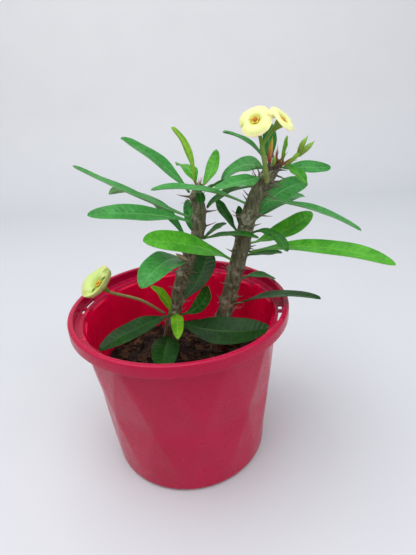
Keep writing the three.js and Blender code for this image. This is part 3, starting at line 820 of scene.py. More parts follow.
def make_chips(count):
    """Every chip is the lump with its corners pushed about, flattened, turned and set down."""
    corners, faces = lump()
    place = on_soil(count, 0.0615)
    n = len(place)
    size = rng.gamma(4.0, 0.55, n)[:, None] * MM * np.stack(
        [rng.uniform(0.8, 1.5, n), rng.uniform(0.5, 0.9, n), rng.uniform(0.2, 0.45, n)], -1
    )
    shape = corners[None] * (1 + 0.35 * rng.standard_normal((n, 12, 1))) * size[:, None]
    tilt = turns_of(n)
    upright = rng.uniform(0, 1, n) < 0.25
    spin = rng.uniform(0, 2 * np.pi, n)
    flat = np.zeros((n, 3, 3))
    flat[:, 0, 0] = flat[:, 1, 1] = np.cos(spin)
    flat[:, 0, 1], flat[:, 1, 0], flat[:, 2, 2] = -np.sin(spin), np.sin(spin), 1
    turn = np.where(upright[:, None, None], tilt, flat + 0.25 * (tilt - np.eye(3)))
    centre = np.c_[place, soil_top(*place.T) + rng.uniform(-0.2, 1.3, n) * MM]
    points = np.einsum("nij,nkj->nki", turn, shape) + centre[:, None]
    tone = np.repeat(rng.beta(1.3, 3.5, n), 12)
    every = (faces[None] + 12 * np.arange(n)[:, None, None]).reshape(-1, 3)
    return make_mesh("soil_chips", points.reshape(-1, 3), [every], {"tone": tone}, smooth=False)


def strands(starts, headings, climbs, lengths, radius, bend, steps=8):
    """Thin three-sided threads: each goes its own way and turns and climbs at a steady random
    rate. The places along all of them are sums of small steps in their changing direction."""
    t = np.linspace(0, 1, steps)[None]
    turn = headings[:, None] + bend * rng.standard_normal((len(starts), 1)) * t
    climb = climbs[:, None] * (1 - t)
    way = np.stack([np.cos(climb) * np.cos(turn), np.cos(climb) * np.sin(turn), np.sin(climb)], -1)
    line = starts[:, None] + np.cumsum(way * (lengths / steps)[:, None, None], 1)
    side = unit(np.cross(way, [0, 0, 1.0]))
    over = np.cross(side, way)
    a = 2 * np.pi * np.arange(3) / 3
    taper = radius * (1.05 - t**2)[..., None, None]
    ring = side[:, :, None] * np.cos(a)[:, None] + over[:, :, None] * np.sin(a)[:, None]
    points = line[:, :, None] + taper * ring
    faces = grid_faces(steps, 3, closed=True)
    ends = np.array([[2, 1, 0], [3 * steps - 3, 3 * steps - 2, 3 * steps - 1]])
    shift = 3 * steps * np.arange(len(starts))[:, None, None]
    return points.reshape(-1, 3), [(faces + shift).reshape(-1, 4), (ends + shift).reshape(-1, 3)]


def make_fibres(count):
    """Coir threads scattered over the soil."""
    place = on_soil(count, 0.060)
    n = len(place)
    starts = np.c_[place, soil_top(*place.T) + 0.9 * MM]
    points, faces = strands(
        starts, rng.uniform(0, 7, n), rng.uniform(-0.1, 0.3, n), rng.uniform(4, 13, n) * MM, 0.14 * MM,
        1.6
    )
    radius = np.linalg.norm(points[:, :2], axis=1, keepdims=True)
    points[:, :2] *= np.minimum(1, 0.0635 / np.maximum(radius, 1e-6))
    return make_mesh("soil_fibres", points, faces)


# %% Soil: finishes
def make_soil_material(name, dark, light, relief):
    """Damp dark brown, matte, mottled, and lighter where a piece's own tone is high."""
    material, tree, shader = start_material(name)
    shader.inputs["Specular IOR Level"].default_value = 0.3
    grain = mottle(tree, 240.0, 2.4)
    base = ramp(tree, grain, (0.25, dark), (0.8, light))
    tone = attribute(tree, "tone")
    colour = mixed(tree, span(tree, tone, 0.2, 0.9, 0.0, 0.8), base, (0.17, 0.085, 0.035))
    rough = span(tree, grain, 0.2, 0.9, 0.62, 0.92)
    wear(tree, shader, Base_Color=colour, Roughness=rough, Normal=bump(tree, grain, relief, 0.8))
    return material


soil_finish = make_soil_material("soil_dark", (0.006, 0.0035, 0.002), (0.030, 0.017, 0.010), 0.0008)
fibre_finish = make_soil_material("coir_thread", (0.060, 0.032, 0.014), (0.20, 0.115, 0.055), 0.0001)
stand_for(make_soil_bed(), "soil", soil_finish)
chips = stand_for(make_chips(1500), None, soil_finish)
fibres = stand_for(make_fibres(170), None, fibre_finish)
print("soil:", len(chips.data.polygons) // 20, "chips and", len(fibres.data.polygons) // 23, "fibres")

# %% [markdown]
# ## Stems
# A crown of thorns keeps its bark ridged where leaves have fallen, and a pair of spines stands on
# a swollen base beside each leaf scar. The stem is a tube along a smooth curve. Its radius is a
# function of the distance along it and of the angle round it: the solid's own taper, plus low
# twisted ridges, plus a swelling at the root of each spine. The curve's points are the solid's own.

# %% Stems: curves
STEM_AXES = {
    "main": [(26, 12, 70), (29, 12, 88), (35, 12, 111), (41.5, 12, 136), (48, 12, 159),
             (54, 12, 183), (62.5, 12, 204), (71, 12, 216), (76, 12, 221)],
    "left": [(-13.6, 10, 70), (-11, 10, 90), (-4.5, 10, 114), (2, 10, 137), (11, 10, 159),
             (18, 10, 177), (19.5, 10, 192), (18.5, 10, 202), (21, 10, 210)],
    "shoot": [(-10.5, 8, 94), (-9, 4.5, 102), (-6, 3, 110), (-3.5, 2, 117)],
}
STEM_RADII = {"main": (6.5, 5.2), "left": (5.15, 4.4), "shoot": (3.0, 2.4)}
TIP_FROM, TIP_NARROWING = 0.93, 0.55


class Path:
    """A smooth curve through points, walked by true length, with two directions across it."""

    def __init__(self, points, steps):
        points = np.asarray(points, float) * MM
        gaps = np.linalg.norm(np.diff(points, axis=0), axis=1) ** 0.5
        knots = np.concatenate([[0], np.cumsum(gaps)]) / gaps.sum()
        dense = smooth_path(knots, points, np.linspace(0, 1, 400))
        walked = np.concatenate([[0], np.cumsum(np.linalg.norm(np.diff(dense, axis=0), axis=1))])
        self.length = walked[-1]
        self.t = np.linspace(0, 1, steps)
        self.line = np.stack([np.interp(self.t * self.length, walked, dense[:, k]) for k in range(3)], 1)
        self.way = unit(np.gradient(self.line, axis=0))
        guide = np.array([0, 1.0, 0]) if abs(self.way[0] @ [0, 1, 0]) < 0.9 else np.array([1.0, 0, 0])
        self.side = unit(np.cross(guide, self.way))
        self.over = np.cross(self.way, self.side)

    def at(self, t, angle):
        """The place, the outward direction and the forward direction at t and an angle round."""
        k = np.clip((t * (len(self.t) - 1)).round().astype(int), 0, len(self.t) - 1)
        out = self.side[k] * np.cos(angle)[:, None] + self.over[k] * np.sin(angle)[:, None]
        return self.line[k], out, self.way[k]


def tube(name, path, radius, around, values=None):
    """A closed tube. radius is a grid, one row a step along the path and one column an angle."""
    a = 2 * np.pi * np.arange(around) / around
    out = path.side[:, None] * np.cos(a)[:, None] + path.over[:, None] * np.sin(a)[:, None]
    grid = path.line[:, None] + out * np.broadcast_to(radius, (len(path.t), around))[..., None]
    rows = len(grid)
    points = np.concatenate([
        grid.reshape(-1, 3), [path.line[0]], [path.line[-1] + path.way[-1] * np.mean(radius[-1]) * 0.4]
    ])
    last = np.arange(around) + (rows - 1) * around
    faces = [grid_faces(rows, around, closed=True), cap_faces(
        rows * around, np.arange(around), outward=False
    ),
             cap_faces(rows * around + 1, last)]
    values = {k: np.append(np.broadcast_to(v, (rows, around)).ravel(), [np.ravel(v)[0], np.ravel(v)[-1]])
              for k, v in (values or {}).items()}
    return make_mesh(name, points, faces, values)


# %% Stems: where the spines stand
GOLDEN = np.radians(137.5)
SPINE_GAP = {"main": 5.0, "left": 5.4}


def spine_roots(name, path):
    """Pairs of spines: each pair is a golden turn on from the last and a little further up."""
    pairs = int(path.length / MM * 0.80 / SPINE_GAP[name])
    k = np.repeat(np.arange(pairs), 2)
    sign = np.tile([-1, 1], pairs)
    t = 0.16 + 0.80 * (k + 0.5) / pairs
    return t, GOLDEN * k + sign * np.radians(17), sign


def stem_radius(name, path, angle, roots):
    """Taper, with a blunt tip, times ridges and fine bark, plus a swelling at each spine's root."""
    t = path.t[:, None]
    neck = np.clip((t - TIP_FROM) / (1 - TIP_FROM), 0, 1)
    base = (STEM_RADII[name][0] * (1 - t) + STEM_RADII[name][1] * t) * MM
    base = base * (1 - TIP_NARROWING * neck**2 * (3 - 2 * neck))
    z = t * path.length / MM
    ridges = np.sin(5 * angle + z * 0.055) + 0.6 * np.sin(8 * angle - z * 0.04 + 1.3)
    bark = np.sin(23 * angle + 2.2 * np.sin(z * 0.21)) * (0.6 + 0.4 * np.sin(z * 0.5 + 3 * angle))
    knots = 0.5 * np.sin(z * 0.42 + 2 * angle) + 0.5 * np.sin(z * 0.93 - 3 * angle)
    grid = base * (1 + 0.024 * ridges + 0.014 * bark + 0.022 * knots)
    for root_t, root_angle, _ in zip(*roots):
        turn = (angle - root_angle + np.pi) % (2 * np.pi) - np.pi
        away = ((t - root_t) * path.length / MM) ** 2 / 5.5 + (turn * base / MM) ** 2 / 3.2
        grid = grid + 1.15 * MM * np.exp(-away)
    return grid


# %% Stems: spines
blade_points = np.concatenate([np.array([v.co for v in b.data.vertices]) for b in leaves])
near_blade = KDTree(len(blade_points))
for i, point in enumerate(blade_points):
    near_blade.insert(point, i)
near_blade.balance()


def make_spines(name, starts, outs, ups, lengths, widths, tone):
    """Curved cones of eight sides: each one's line leaves the stem outwards and bends up, as the
    square of the distance, and its radius falls from a broad foot to a fine point."""
    t = np.array([0, 0.08, 0.2, 0.4, 0.65, 0.88, 1.0])[None, :, None]
    line = starts[:, None] + outs[:, None] * lengths[
        :, None, None
    ] * t + ups[:, None] * lengths[:, None, None] * 0.16 * t**2
    clear = np.array([all(near_blade.find(p)[2] > 1.1 * MM for p in spine[2:]) for spine in line])
    line, outs, ups, widths, tone = line[clear], outs[clear], ups[clear], widths[clear], tone[clear]
    side = unit(np.cross(outs, ups))
    over = np.cross(side, outs)
    a = 2 * np.pi * np.arange(8) / 8
    girth = np.array([1.9, 1.05, 0.66, 0.46, 0.30, 0.15, 0.02])[
        None, :, None, None
    ] * widths[:, None, None, None]
    ring = side[:, None, None] * np.cos(a)[:, None] + 1.35 * over[:, None, None] * np.sin(a)[:, None]
    points = line[:, :, None] + girth * ring
    n, rows = points.shape[:2]
    shift = 8 * rows * np.arange(n)[:, None, None]
    faces = (grid_faces(rows, 8, closed=True) + shift).reshape(-1, 4)
    caps = np.array([np.arange(8)[::-1], np.arange(8) + 8 * (rows - 1)])
    values = {"tone": np.repeat(tone, 8 * rows), "tip": np.tile(np.repeat(t.ravel(), 8), n)}
    return make_mesh(
        name, points.reshape(-1, 3), [faces[:, ::-1], (caps + shift).reshape(-1, 8)[:, ::-1]], values
    )


def spines_of(name, path, roots):
    """The pairs of spines of one stem, longer and stouter towards its top."""
    t, angle, sign = roots
    place, out, way = path.at(t, angle)
    girth = np.interp(t, [0, 1], STEM_RADII[name]) * MM
    lean = unit(
        out + 0.10 * way + 0.25 * sign[:, None] * np.cross(way, out) + 0.12
        * rng.standard_normal(out.shape)
    )
    lengths = (5.2 + 6.2 * t**2 + 1.1 * rng.standard_normal(len(t))).clip(3.5, 12.5) * MM
    widths = (0.62 + 0.28 * t) * MM * rng.uniform(0.85, 1.2, len(t))
    return make_spines(
        f"{name}_spines", place + out * (girth - 0.2 * MM)[:, None], lean, way, lengths, widths, t
    )


# %% Stems: bark and spine finishes
def make_bark():
    """Grey-green bark: dark in its furrows, pale flaking patches, browner low down."""
    material, tree, shader = start_material("stem_bark")
    shader.inputs["Specular IOR Level"].default_value = 0.3
    place = put(tree, "ShaderNodeTexCoord", out=3)
    drawn = put(tree, "ShaderNodeMapping", _0=place, Scale=(1.0, 1.0, 0.16))
    streaks = put(tree, "ShaderNodeTexNoise", Vector=drawn, Scale=620.0, Detail=4.0, Roughness=0.65)
    patches = mottle(tree, 95.0, 2.4)
    height = attribute(tree, "height")
    low = ramp(tree, streaks, (0.34, (0.040, 0.038, 0.018)), (0.72, (0.230, 0.205, 0.130)))
    high = ramp(tree, streaks, (0.32, (0.036, 0.044, 0.016)), (0.72, (0.175, 0.180, 0.090)))
    colour = mixed(tree, height, low, high)
    colour = mixed(tree, span(tree, patches, 0.52, 0.80, 0.0, 0.75), colour, (0.38, 0.35, 0.26))
    colour = mixed(
        tree, span(tree, mottle(tree, 210.0, 2.2), 0.55, 0.85, 0.0, 0.55), colour, (0.050, 0.040, 0.022)
    )
    both = sum_of(
        tree, "ADD", sum_of(tree, "MULTIPLY", streaks, 0.7), sum_of(tree, "MULTIPLY", patches, 0.3)
    )
    rough = span(tree, patches, 0.2, 0.9, 0.60, 0.85)
    wear(tree, shader, Base_Color=colour, Roughness=rough, Normal=bump(tree, both, 0.0011, 1.0))
    return material


def make_spine_finish(name, foot, point):
    """Woody spines, from a dark foot to a lighter point."""
    material, tree, shader = start_material(name)
    colour = mixed(tree, attribute(tree, "tip"), foot, point)
    colour = mixed(
        tree, span(tree, mottle(tree, 500.0, 2.0), 0.3, 0.9, 0.0, 0.5), colour, (0.05, 0.035, 0.025)
    )
    wear(
        tree, shader, Base_Color=colour,
        Roughness=span(tree, mottle(tree, 300.0, 1.0), 0.2, 0.9, 0.4, 0.6)
    )
    return material


bark = make_bark()
old_spine = make_spine_finish("spine_grey", (0.115, 0.085, 0.060), (0.24, 0.17, 0.12))
young_spine = make_spine_finish("spine_red", (0.26, 0.035, 0.018), (0.42, 0.11, 0.05))

# %% Stems: make them
AROUND = 72
angles = 2 * np.pi * np.arange(AROUND)[None] / AROUND
paths = {name: Path(axis, 90 if name == "shoot" else 300) for name, axis in STEM_AXES.items()}
roots = {name: spine_roots(name, paths[name]) for name in ("main", "left")}
roots["shoot"] = (np.array([]), np.array([]), np.array([]))
for name, path in paths.items():
    grid = stem_radius(name, path, angles, roots[name])
    stem = tube(f"{name}_wood", path, grid, AROUND, {"height": path.t[:, None]})
    stand_for(stem, {"main": "main_stem", "left": "left_stem"}.get(name), bark)
for name in ("main", "left"):
    thorns = stand_for(spines_of(name, paths[name], roots[name]), None, old_spine)
    print(name, "stem:", len(thorns.data.polygons) // 50, "spines")

# %% Stems: fresh red spines at the growing tips
def tip_bristles(name, kind, count, spread, low, high, reach, width):
    """Spines that crowd together and stand up round a growing tip."""
    path = paths[name]
    t, angle = rng.uniform(low, high, count), rng.uniform(0, 2 * np.pi, count)
    place, out, way = path.at(t, angle)
    girth = np.interp(t, [0, TIP_FROM, 1], [1, 1, 1 - TIP_NARROWING]) * STEM_RADII[name][1] * MM
    lean = unit(out * spread + way + [0, 0, 0.35] + 0.22 * rng.standard_normal(out.shape))
    starts = place + out * (girth - 0.3 * MM)[:, None]
    return make_spines(
        f"{name}_{kind}", starts, lean, out, rng.uniform(*reach, count) * MM, np.full(count, width * MM),
        t
    )


TIP_SPINES = [
    ("main", "tip_bristles", 24, 0.6, (0.955, 0.995), (8, 13), 0.66, young_spine),
    ("main", "brown_bristles", 52, 1.6, (0.86, 0.985), (4, 11), 0.62, old_spine),
    ("left", "tip_bristles", 8, 0.8, (0.95, 0.995), (4, 8), 0.42, young_spine),
    ("left", "brown_bristles", 14, 1.7, (0.90, 0.985), (4, 8), 0.42, old_spine),
]
for name, kind, count, spread, (low, high), reach, width, finish in TIP_SPINES:
    stand_for(tip_bristles(name, kind, count, spread, low, high, reach, width), None, finish)

# %% [markdown]
# ## Flowers
# What looks like two petals is a pair of bracts, round leaves that stand behind a tiny cup. In the
# cup's rim sit five rounded nectar glands, with a tuft of stamens in the middle. Each bract is a
# fan about the cup: its radius depends on the angle from the fan's own heading, which gives the
# kidney outline, and its height rises along the fan's slope. The glands and the cup are one
# surface of revolution whose radius and height swell five times round.

# %% Flowers: place and pose
# These repeat the model's own values, in millimetres and degrees. Most came from another program,
# a least-squares fit, and were rounded; one lift each on the last two flowers was set by hand.
FLOWERS = {
    "top_left_flower": {
        "at": (58.6, 2, 248), "facing": (-0.30, -0.73, 0.61), "reach": 12.2, "turn": 272,
        "lift": (14, -3)
    },
    "top_right_flower": {
        "at": (75, 3, 246.8), "facing": (0.57, -0.51, 0.65), "reach": 11.7, "turn": 266, "lift": (27, 7)
    },
    "low_flower": {
        "at": (-56, 0, 144.4), "facing": (-0.50, -0.33, 0.80), "reach": 17, "turn": 303,
        "lift": (36, 19), "bowl": 85
    },
}


def upright_to(axis):
    """The smallest turn that takes straight up to an axis, as a matrix (Rodrigues' formula)."""
    v = np.cross([0, 0, 1.0], axis)
    k = np.array([[0, -v[2], v[1]], [v[2], 0, -v[0]], [-v[1], v[0], 0]])
    return np.eye(3) + k + k @ k / (1 + axis[2])


# %% Flowers: bracts
FAN = np.radians(100)


def make_bract(name, pose, upper, seed):
    """Both faces of a fan on a grid of angle s by distance k from the cup. The rim's distance is
    reach (1 - 0.45 (s / 100 degrees)^4), with a small point in the middle. The height is the slope
    along the fan, plus an arch of half a sine, less a curl that grows as k^4, plus a rim wave. A
    bract that is cupped like a bowl bends up instead, and its height and its run are the sums of
    the sines and cosines of the bend."""
    noise = np.random.default_rng(seed)
    heading = np.radians(pose["turn"] + (0 if upper else 180))
    tilt = np.tan(np.radians(pose["lift"][0 if upper else 1]))
    s = FAN * np.sin(np.linspace(-np.pi / 2, np.pi / 2, 57))[:, None]
    k = np.linspace(0, 1, 24)[None] ** 0.85
    rim = pose["reach"] * (1 - 0.45 * (np.abs(s) / FAN) ** 4 + 0.03 * np.exp(-((s / 0.09) ** 2)))
    rim = rim * (1 + 0.012 * np.sin(7 * s + noise.uniform(0, 6)) + 0.008 * np.sin(15 * s))
    if upper and "bowl" in pose:
        bend = np.radians(pose["bowl"]) * np.clip((k - 0.35) / 0.65, 0, 1) ** 1.2
        step = np.diff(k, prepend=0) * 1.15
        run = 0.4 + (rim - 1.9 - 0.4) * np.cumsum(np.cos(bend) * step, 1)
        rise, arch = (rim - 1.9 - 0.4) * np.cumsum(np.sin(bend) * step, 1), 0
    else:
        run = 0.4 + (rim - 1.9 - 0.4) * k / np.hypot(1, tilt)
        rise = run * tilt * np.cos(0.6 * s)
        arch = 0.13 * np.sin(np.pi * np.clip(k * 1.1, 0, 1)) - 0.10 * k**4
    wave = 0.035 * np.sin(4 * s + noise.uniform(0, 6)) * k**3
    height = rise + (0.5 if upper else -0.5) + (wave + arch) * pose["reach"]
    half = 0.17 * (1.15 - k**8)
    r = 1.9 + run

    def face(offset):
        return np.stack([r * np.cos(s + heading), r * np.sin(s + heading), height + offset], -1)

    ring = np.concatenate([face(half), face(-half)[:, ::-1]], 1)
    rows, count = ring.shape[:2]
    points = np.concatenate([ring.reshape(-1, 3), [ring[0].mean(0)], [ring[-1].mean(0)]])
    points = (np.array(pose["at"]) + points @ upright_to(unit(np.array(pose["facing"], float))).T) * MM
    faces = [grid_faces(rows, count, closed=True), cap_faces(
        rows * count, np.arange(count), outward=False
    ),
             cap_faces(rows * count + 1, np.arange(count) + (rows - 1) * count)]
    out = np.broadcast_to(k, (rows, count // 2))
    fan = np.broadcast_to(s / FAN, (rows, count // 2))
    inside = np.ones_like(out)
    values = {
        "out": np.append(np.concatenate([out, out[:, ::-1]], 1).ravel(), [0.5, 0.5]),
        "fan": np.append(np.concatenate([fan, fan[:, ::-1]], 1).ravel(), [-1, 1]),
        "inner": np.append(np.concatenate([inside, 0 * inside], 1).ravel(), [1, 1]),
    }
    return make_mesh(name, points, [f[:, ::-1] for f in faces], values)


# %% Flowers: cup, glands and stamens
def make_cyathium(name, pose):
    """A funnel that widens to a rim of five glands, lathed about the flower's axis. Near the rim
    the radius and the height both swell as the fifth harmonic of the angle."""
    profile = np.array([[
        1.2, -9.5
    ], [1.5, -7.8], [1.9, -6.0], [2.5, -4.0], [3.1, -2.2], [3.0, -1.1], [2.2, 0.2],
                        [2.35, 0.9], [2.75, 1.4], [
                            2.55, 1.75
                        ], [1.9, 1.75], [1.45, 1.4], [1.25, 0.9], [0.6, 0.7]])
    swell = np.array([0, 0, 0, 0, 0, 0.02, 0.06, 0.16, 0.20, 0.17, 0.10, 0.04, 0, 0])[:, None]
    rows, around = len(profile), 60
    a = 2 * np.pi * np.arange(around)[None] / around
    lobes = np.sign(np.cos(5 * a)) * np.abs(np.cos(5 * a)) ** 0.6
    r = profile[:, :1] * (1 + swell * lobes)
    grid = np.stack([r * np.cos(a), r * np.sin(a), profile[:, 1:] + 1.2 * swell * lobes], -1)
    gland = np.clip((np.arange(rows) - 5.5) / 2, 0, 1) * (np.arange(rows) < 12)
    n = rows * around
    points = [grid.reshape(-1, 3), [grid[0].mean(0)], [grid[-1].mean(0)]]
    faces = [grid_faces(rows, around, closed=True), cap_faces(n, np.arange(around), outward=False),
             cap_faces(n + 1, np.arange(around) + n - around)]
    tone = [np.repeat(gland, around), [0, 0.3]]
    corners, sides = lump()
    for k in range(11):
        turn, lean = 2.4 * k, 0.09 * k
        way = np.array([lean * np.cos(turn), lean * np.sin(turn), 1])
        faces.append(sides + sum(len(p) for p in points))
        points.append(way * (1.5 + 0.09 * (k % 5)) + corners * 0.4)
        tone.append(np.full(12, 1.6))
    points = np.concatenate(points) @ upright_to(unit(np.array(pose["facing"], float))).T
    return make_mesh(name, (np.array(pose["at"]) + points) * MM, faces, {"tone": np.concatenate(tone)})


# %% Flowers: finishes
def make_bract_finish(name, inner, outer, rim):
    """Cream that turns green towards the cup and blushes at the rim, with faint fanned veins."""
    material, tree, shader = start_material(name, Roughness=0.5)
    shader.inputs["Specular IOR Level"].default_value = 0.3
    shader.inputs["Subsurface Weight"].default_value = 0.15
    shader.inputs["Subsurface Radius"].default_value = (0.0016, 0.0014, 0.0005)
    out, fan = attribute(tree, "out"), attribute(tree, "fan")
    colour = ramp(tree, out, (0.02, inner), (0.34, outer))
    blush = sum_of(
        tree, "MULTIPLY", span(tree, out, 0.86, 1.0),
        span(tree, mottle(tree, 110.0, 2.0), 0.3, 0.8, 0.2, 0.9)
    )
    colour = mixed(tree, blush, colour, rim)
    rays = put(tree, "ShaderNodeMath", operation="PINGPONG",
               _0=sum_of(
                   tree, "ADD", sum_of(tree, "MULTIPLY", fan, 9.0),
                   sum_of(tree, "MULTIPLY", mottle(tree, 150.0, 1.0), 1.2)
               ), _1=0.5)
    foot = sum_of(
        tree, "MULTIPLY", span(tree, attribute(tree, "inner"), 0.0, 1.0, 1.0, 0.0),
        span(tree, out, 0.05, 0.75, 0.95, 0.1)
    )
    colour = mixed(tree, foot, colour, (0.16, 0.32, 0.03))
    veins = sum_of(
        tree, "MULTIPLY", span(tree, rays, 0.0, 0.14, 0.35, 0.0), span(tree, out, 0.1, 0.95, 1.0, 0.2)
    )
    colour = mixed(tree, veins, colour, inner)
    wear(
        tree, shader, Base_Color=colour,
        Normal=bump(tree, sum_of(tree, "ADD", veins, mottle(tree, 300.0, 0.8)), 0.0002, 0.5)
    )
    return material


def make_cup_finish():
    """Green funnel, orange-yellow glands and redder stamens, by each point's own number."""
    material, tree, shader = start_material("cup_orange", Roughness=0.35)
    tone = attribute(tree, "tone")
    colour = ramp(
        tree, sum_of(tree, "MULTIPLY", tone, 0.5), (0.10, (0.20, 0.30, 0.03)),
        (0.40, (0.78, 0.50, 0.03)), (0.80, (0.72, 0.22, 0.02))
    )
    colour = mixed(
        tree, span(tree, mottle(tree, 700.0, 2.0), 0.4, 0.9, 0.0, 0.5), colour, (0.45, 0.42, 0.04)
    )
    wear(tree, shader, Base_Color=colour)
    return material


cream = make_bract_finish("bract_cream", (0.46, 0.62, 0.07), (0.82, 0.85, 0.36), (0.88, 0.55, 0.38))
lime = make_bract_finish("bract_lime", (0.36, 0.50, 0.05), (0.58, 0.70, 0.24), (0.88, 0.44, 0.34))
cup_finish = make_cup_finish()
for seed, (flower, pose) in enumerate(FLOWERS.items()):
    for half in ("upper", "lower"):
        bract = make_bract(f"{flower}_{half}_petal", pose, half == "upper", 10 * seed + len(half[:5]))
        stand_for(bract, f"{flower}_bract_{half}", lime if flower == "low_flower" else cream)
    stand_for(make_cyathium(f"{flower}_heart", pose), f"{flower}_cup", cup_finish)
    print(flower, "stands at", pose["at"])

# %% [markdown]
# ## Stalks, buds and a dried scrap
# These are small and soft, and their solids are already close. Each is a copy of its solid,
# merged, wrapped in an even skin by a voxel remesh and smoothed, which rounds off the joins of its
# branches as growth would.

# %% Stalks: softened copies
def softened(name, node, voxel, rounds):
    """A solid's merged copy, remeshed at a voxel size and smoothed a number of times."""
    piece = bpy.data.objects.new(name, nodes[node].data.copy())
    bpy.context.scene.collection.objects.link(piece)
    weld = piece.modifiers.new("weld", "WELD")
    weld.merge_threshold = 1e-6
    skin = piece.modifiers.new("skin", "REMESH")
    skin.mode, skin.voxel_size, skin.use_smooth_shade = "VOXEL", voxel, True
    soften = piece.modifiers.new("soften", "SMOOTH")
    soften.factor, soften.iterations = 0.5, rounds
    done = bpy.data.meshes.new_from_object(piece.evaluated_get(bpy.context.evaluated_depsgraph_get()))
    piece.modifiers.clear()
    piece.data = done
    piece.data.materials.clear()
    heights = np.array([v.co.z for v in done.vertices])
    low, high = heights.min(), heights.max()
    done.attributes.new("height", "FLOAT", "POINT").data.foreach_set(
        "value", ((heights - low) / (high - low)).astype(np.float32)
    )
    return piece


def make_stalk_finish(name, foot, top, spots):
    """Green skin that browns towards one end, with small freckles."""
    material, tree, shader = start_material(name)
    colour = mixed(tree, span(tree, attribute(tree, "height"), 0.1, 0.8), foot, top)
    colour = mixed(tree, span(tree, mottle(tree, 420.0, 2.4), 0.5, 0.9, 0.0, 0.6), colour, spots)
    wear(tree, shader, Base_Color=colour, Roughness=span(
        tree, mottle(tree, 200.0, 1.0), 0.2, 0.9, 0.38, 0.55
    ),
         Normal=bump(tree, mottle(tree, 600.0, 1.2), 0.0002, 0.6))
    return material


STALKS = [
    (
        "top_stalk", "top_flower_stalk", "stalk", (0.17, 0.20, 0.035), (0.16, 0.33, 0.03),
        (0.12, 0.11, 0.03)
    ),
    (
        "low_stalk", "low_flower_stalk", "stalk", (0.20, 0.12, 0.05), (0.26, 0.30, 0.08),
        (0.20, 0.12, 0.05)
    ),
    ("dry_scrap", "dried_scrap", "dry_leaf", (0.36, 0.25, 0.13), (0.50, 0.38, 0.22), (0.18, 0.10, 0.05)),
]
for name, node, slot_name, *tones in STALKS:
    piece = softened(name, node, 0.00032, 6)
    stand_for(piece, node, make_stalk_finish(f"{name}_skin", *tones))
    print(name, len(piece.data.polygons), "faces")

# %% [markdown]
# ## Buds and small things
# Two slim green buds part from one short stalk beside the main tip. A red bud with a yellow-green
# point stands behind the flowers' stalk, and a few dried, curled threads hang about the foot of
# the main stem. A bud is a tube whose radius swells and then runs out to a point.

# %% Buds
def make_bud(name, line, girth, neck):
    """A pointed oval round a line: its radius is neck plus a sine of the distance, raised to a
    power and sharpened towards the tip."""
    path = Path(line, 44)
    t = path.t[:, None]
    swell = np.sin(np.pi * np.clip(t * 0.95 + 0.03, 0, 1)) ** 1.1 * (1 - 0.25 * t)
    radius = (neck * (1 - t) + (girth - neck * (1 - t)) * swell) * (1 - t**8) + 0.03
    seams = 1 + 0.05 * np.abs(np.sin(1.5 * 2 * np.pi * np.arange(20)[None] / 20)) * swell
    return tube(name, path, radius * seams * MM, 20, {"height": t})


def make_stalk_tube(name, line, foot, top):
    """A plain stalk whose radius goes evenly from foot to top."""
    path = Path(line, 60)
    t = path.t[:, None]
    return tube(
        name, path, (foot * (1 - t) + top * t) * (1 + 0.04 * np.sin(17 * t)) * np.ones((1, 20)) * MM, 20,
        {"height": t}
    )


bud_green = make_stalk_finish("bud_green", (0.12, 0.17, 0.01), (0.19, 0.42, 0.01), (0.36, 0.52, 0.08))
bud_red = make_stalk_finish("bud_red", (0.44, 0.05, 0.03), (0.60, 0.50, 0.05), (0.34, 0.03, 0.02))
stand_for(
    make_stalk_tube("bud_stalk", [(79, 9.5, 218), (83, 8.5, 221.5), (88, 8, 226)], 1.25, 1.5),
    "bud_pair", bud_green
)
GREEN_BUDS = [
    ("left_bud", [(87.2, 8, 224.6), (89.6, 8.2, 231), (93.7, 8, 237)], 1.85),
    ("right_bud", [(87.4, 8, 224.4), (92.5, 7.8, 228.6), (98.2, 8, 233.4)], 1.85),
    ("small_bud", [(70.5, 5.2, 220), (70.8, 4.9, 223), (70.6, 4.8, 226)], 1.4),
]
for name, line, girth in GREEN_BUDS:
    stand_for(make_bud(name, line, girth, 1.2), None, bud_green)
stand_for(
    make_bud("red_bud", [(68.3, 6.5, 222), (68.6, 6.2, 230), (70.2, 6, 238.5)], 1.6, 1.0), None,
    bud_red
)


# %% Dried threads
def dried_threads(count):
    """Threads that leave the stem's foot and curl round on themselves."""
    t, angle = rng.uniform(0.12, 0.30, count), rng.uniform(3.2, 6.2, count)
    place, out, _ = paths["main"].at(t, angle)
    starts = place + out * 5.8 * MM
    points, faces = strands(
        starts, angle + 1.2, rng.uniform(0.4, 1.3, count), rng.uniform(14, 30, count) * MM, 0.22 * MM,
        3.4, 22
    )
    return make_mesh("dried_threads", points, faces)


thread_skin = make_soil_material("dry_thread", (0.22, 0.17, 0.11), (0.46, 0.40, 0.30), 0.0001)
stand_for(dried_threads(9), None, thread_skin)

# %% [markdown]
# ## Stage, light and background
# A pale floor runs up into a pale wall behind. A large soft light above and to the left does most
# of the work, a weaker one fills the right, and a pale sky keeps the shadows open.

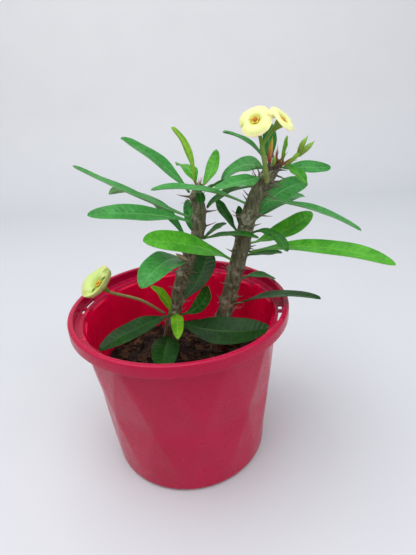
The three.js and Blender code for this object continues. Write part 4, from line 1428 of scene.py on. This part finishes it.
# %% Stage
def make_stage():
    """A floor that sweeps up into a wall: a profile of height against depth, carried sideways."""
    a = np.linspace(0, np.pi / 2, 24)
    sweep = np.stack([0.75 + 0.25 * np.sin(a), 0.25 - 0.25 * np.cos(a)], 1)
    profile = np.concatenate([[[-2.5, 0]], sweep, [[1.0, 2.5]]])
    x = np.linspace(-3, 3, 9)[:, None]
    grid = np.stack(np.broadcast_arrays(x, profile[None, :, 0], profile[None, :, 1]), -1)
    stage = make_mesh("stage", grid.reshape(-1, 3) - [0, 0, 0.0002], [grid_faces(9, len(profile))])
    material, tree, shader = start_material("stage_white", Roughness=0.6)
    shader.inputs["Specular IOR Level"].default_value = 0.25
    place = put(tree, "ShaderNodeTexCoord", out=3)
    height = put(tree, "ShaderNodeSeparateXYZ", out=2, _0=place)
    low, high = (0.62, 0.635, 0.66), (0.77, 0.77, 0.775)
    tone = mixed(tree, span(tree, height, 0.0, 0.25), low, high)
    tone = mixed(tree, span(tree, mottle(tree, 3.0, 1.0), 0.3, 0.7, 0.0, 0.06), tone, (0.40, 0.40, 0.42))
    wear(tree, shader, Base_Color=tone)
    stage.data.materials.append(material)
    return stage


def area_light(name, place, target, size, power, colour):
    """A square light at a place, turned to face a target."""
    data = bpy.data.lights.new(name, "AREA")
    data.size, data.energy, data.color = size, power, colour
    light = bpy.data.objects.new(name, data)
    bpy.context.scene.collection.objects.link(light)
    light.location = place
    away = np.array(place) - np.array(target)
    light.rotation_mode = "QUATERNION"
    light.rotation_quaternion = Vector(away.tolist()).to_track_quat("Z", "Y")
    return light


LOOK_AT = (0, 0, 0.12)  # the middle of the pot, which both lights face
stage = make_stage()
area_light("key", (-0.30, -0.10, 1.1), LOOK_AT, 1.2, 9, (1.0, 0.99, 0.97))
area_light("fill", (0.9, -0.7, 0.7), LOOK_AT, 0.9, 3.5, (0.95, 0.97, 1.0))


def make_sky():
    """A sky that is dim at the level of the floor and bright overhead, as under a ceiling light."""
    sky = bpy.data.worlds.new("sky")
    sky.use_nodes = True
    tree = sky.node_tree
    up = put(tree, "ShaderNodeSeparateXYZ", out=2, _0=put(tree, "ShaderNodeTexCoord", out=0))
    background = tree.nodes["Background"]
    background.inputs[0].default_value = (0.93, 0.95, 1.0, 1)
    tree.links.new(span(tree, up, 0.0, 0.7, 0.42, 0.95), background.inputs[1])
    return sky


bpy.context.scene.world = make_sky()
bpy.context.scene.view_settings.view_transform = "Standard"
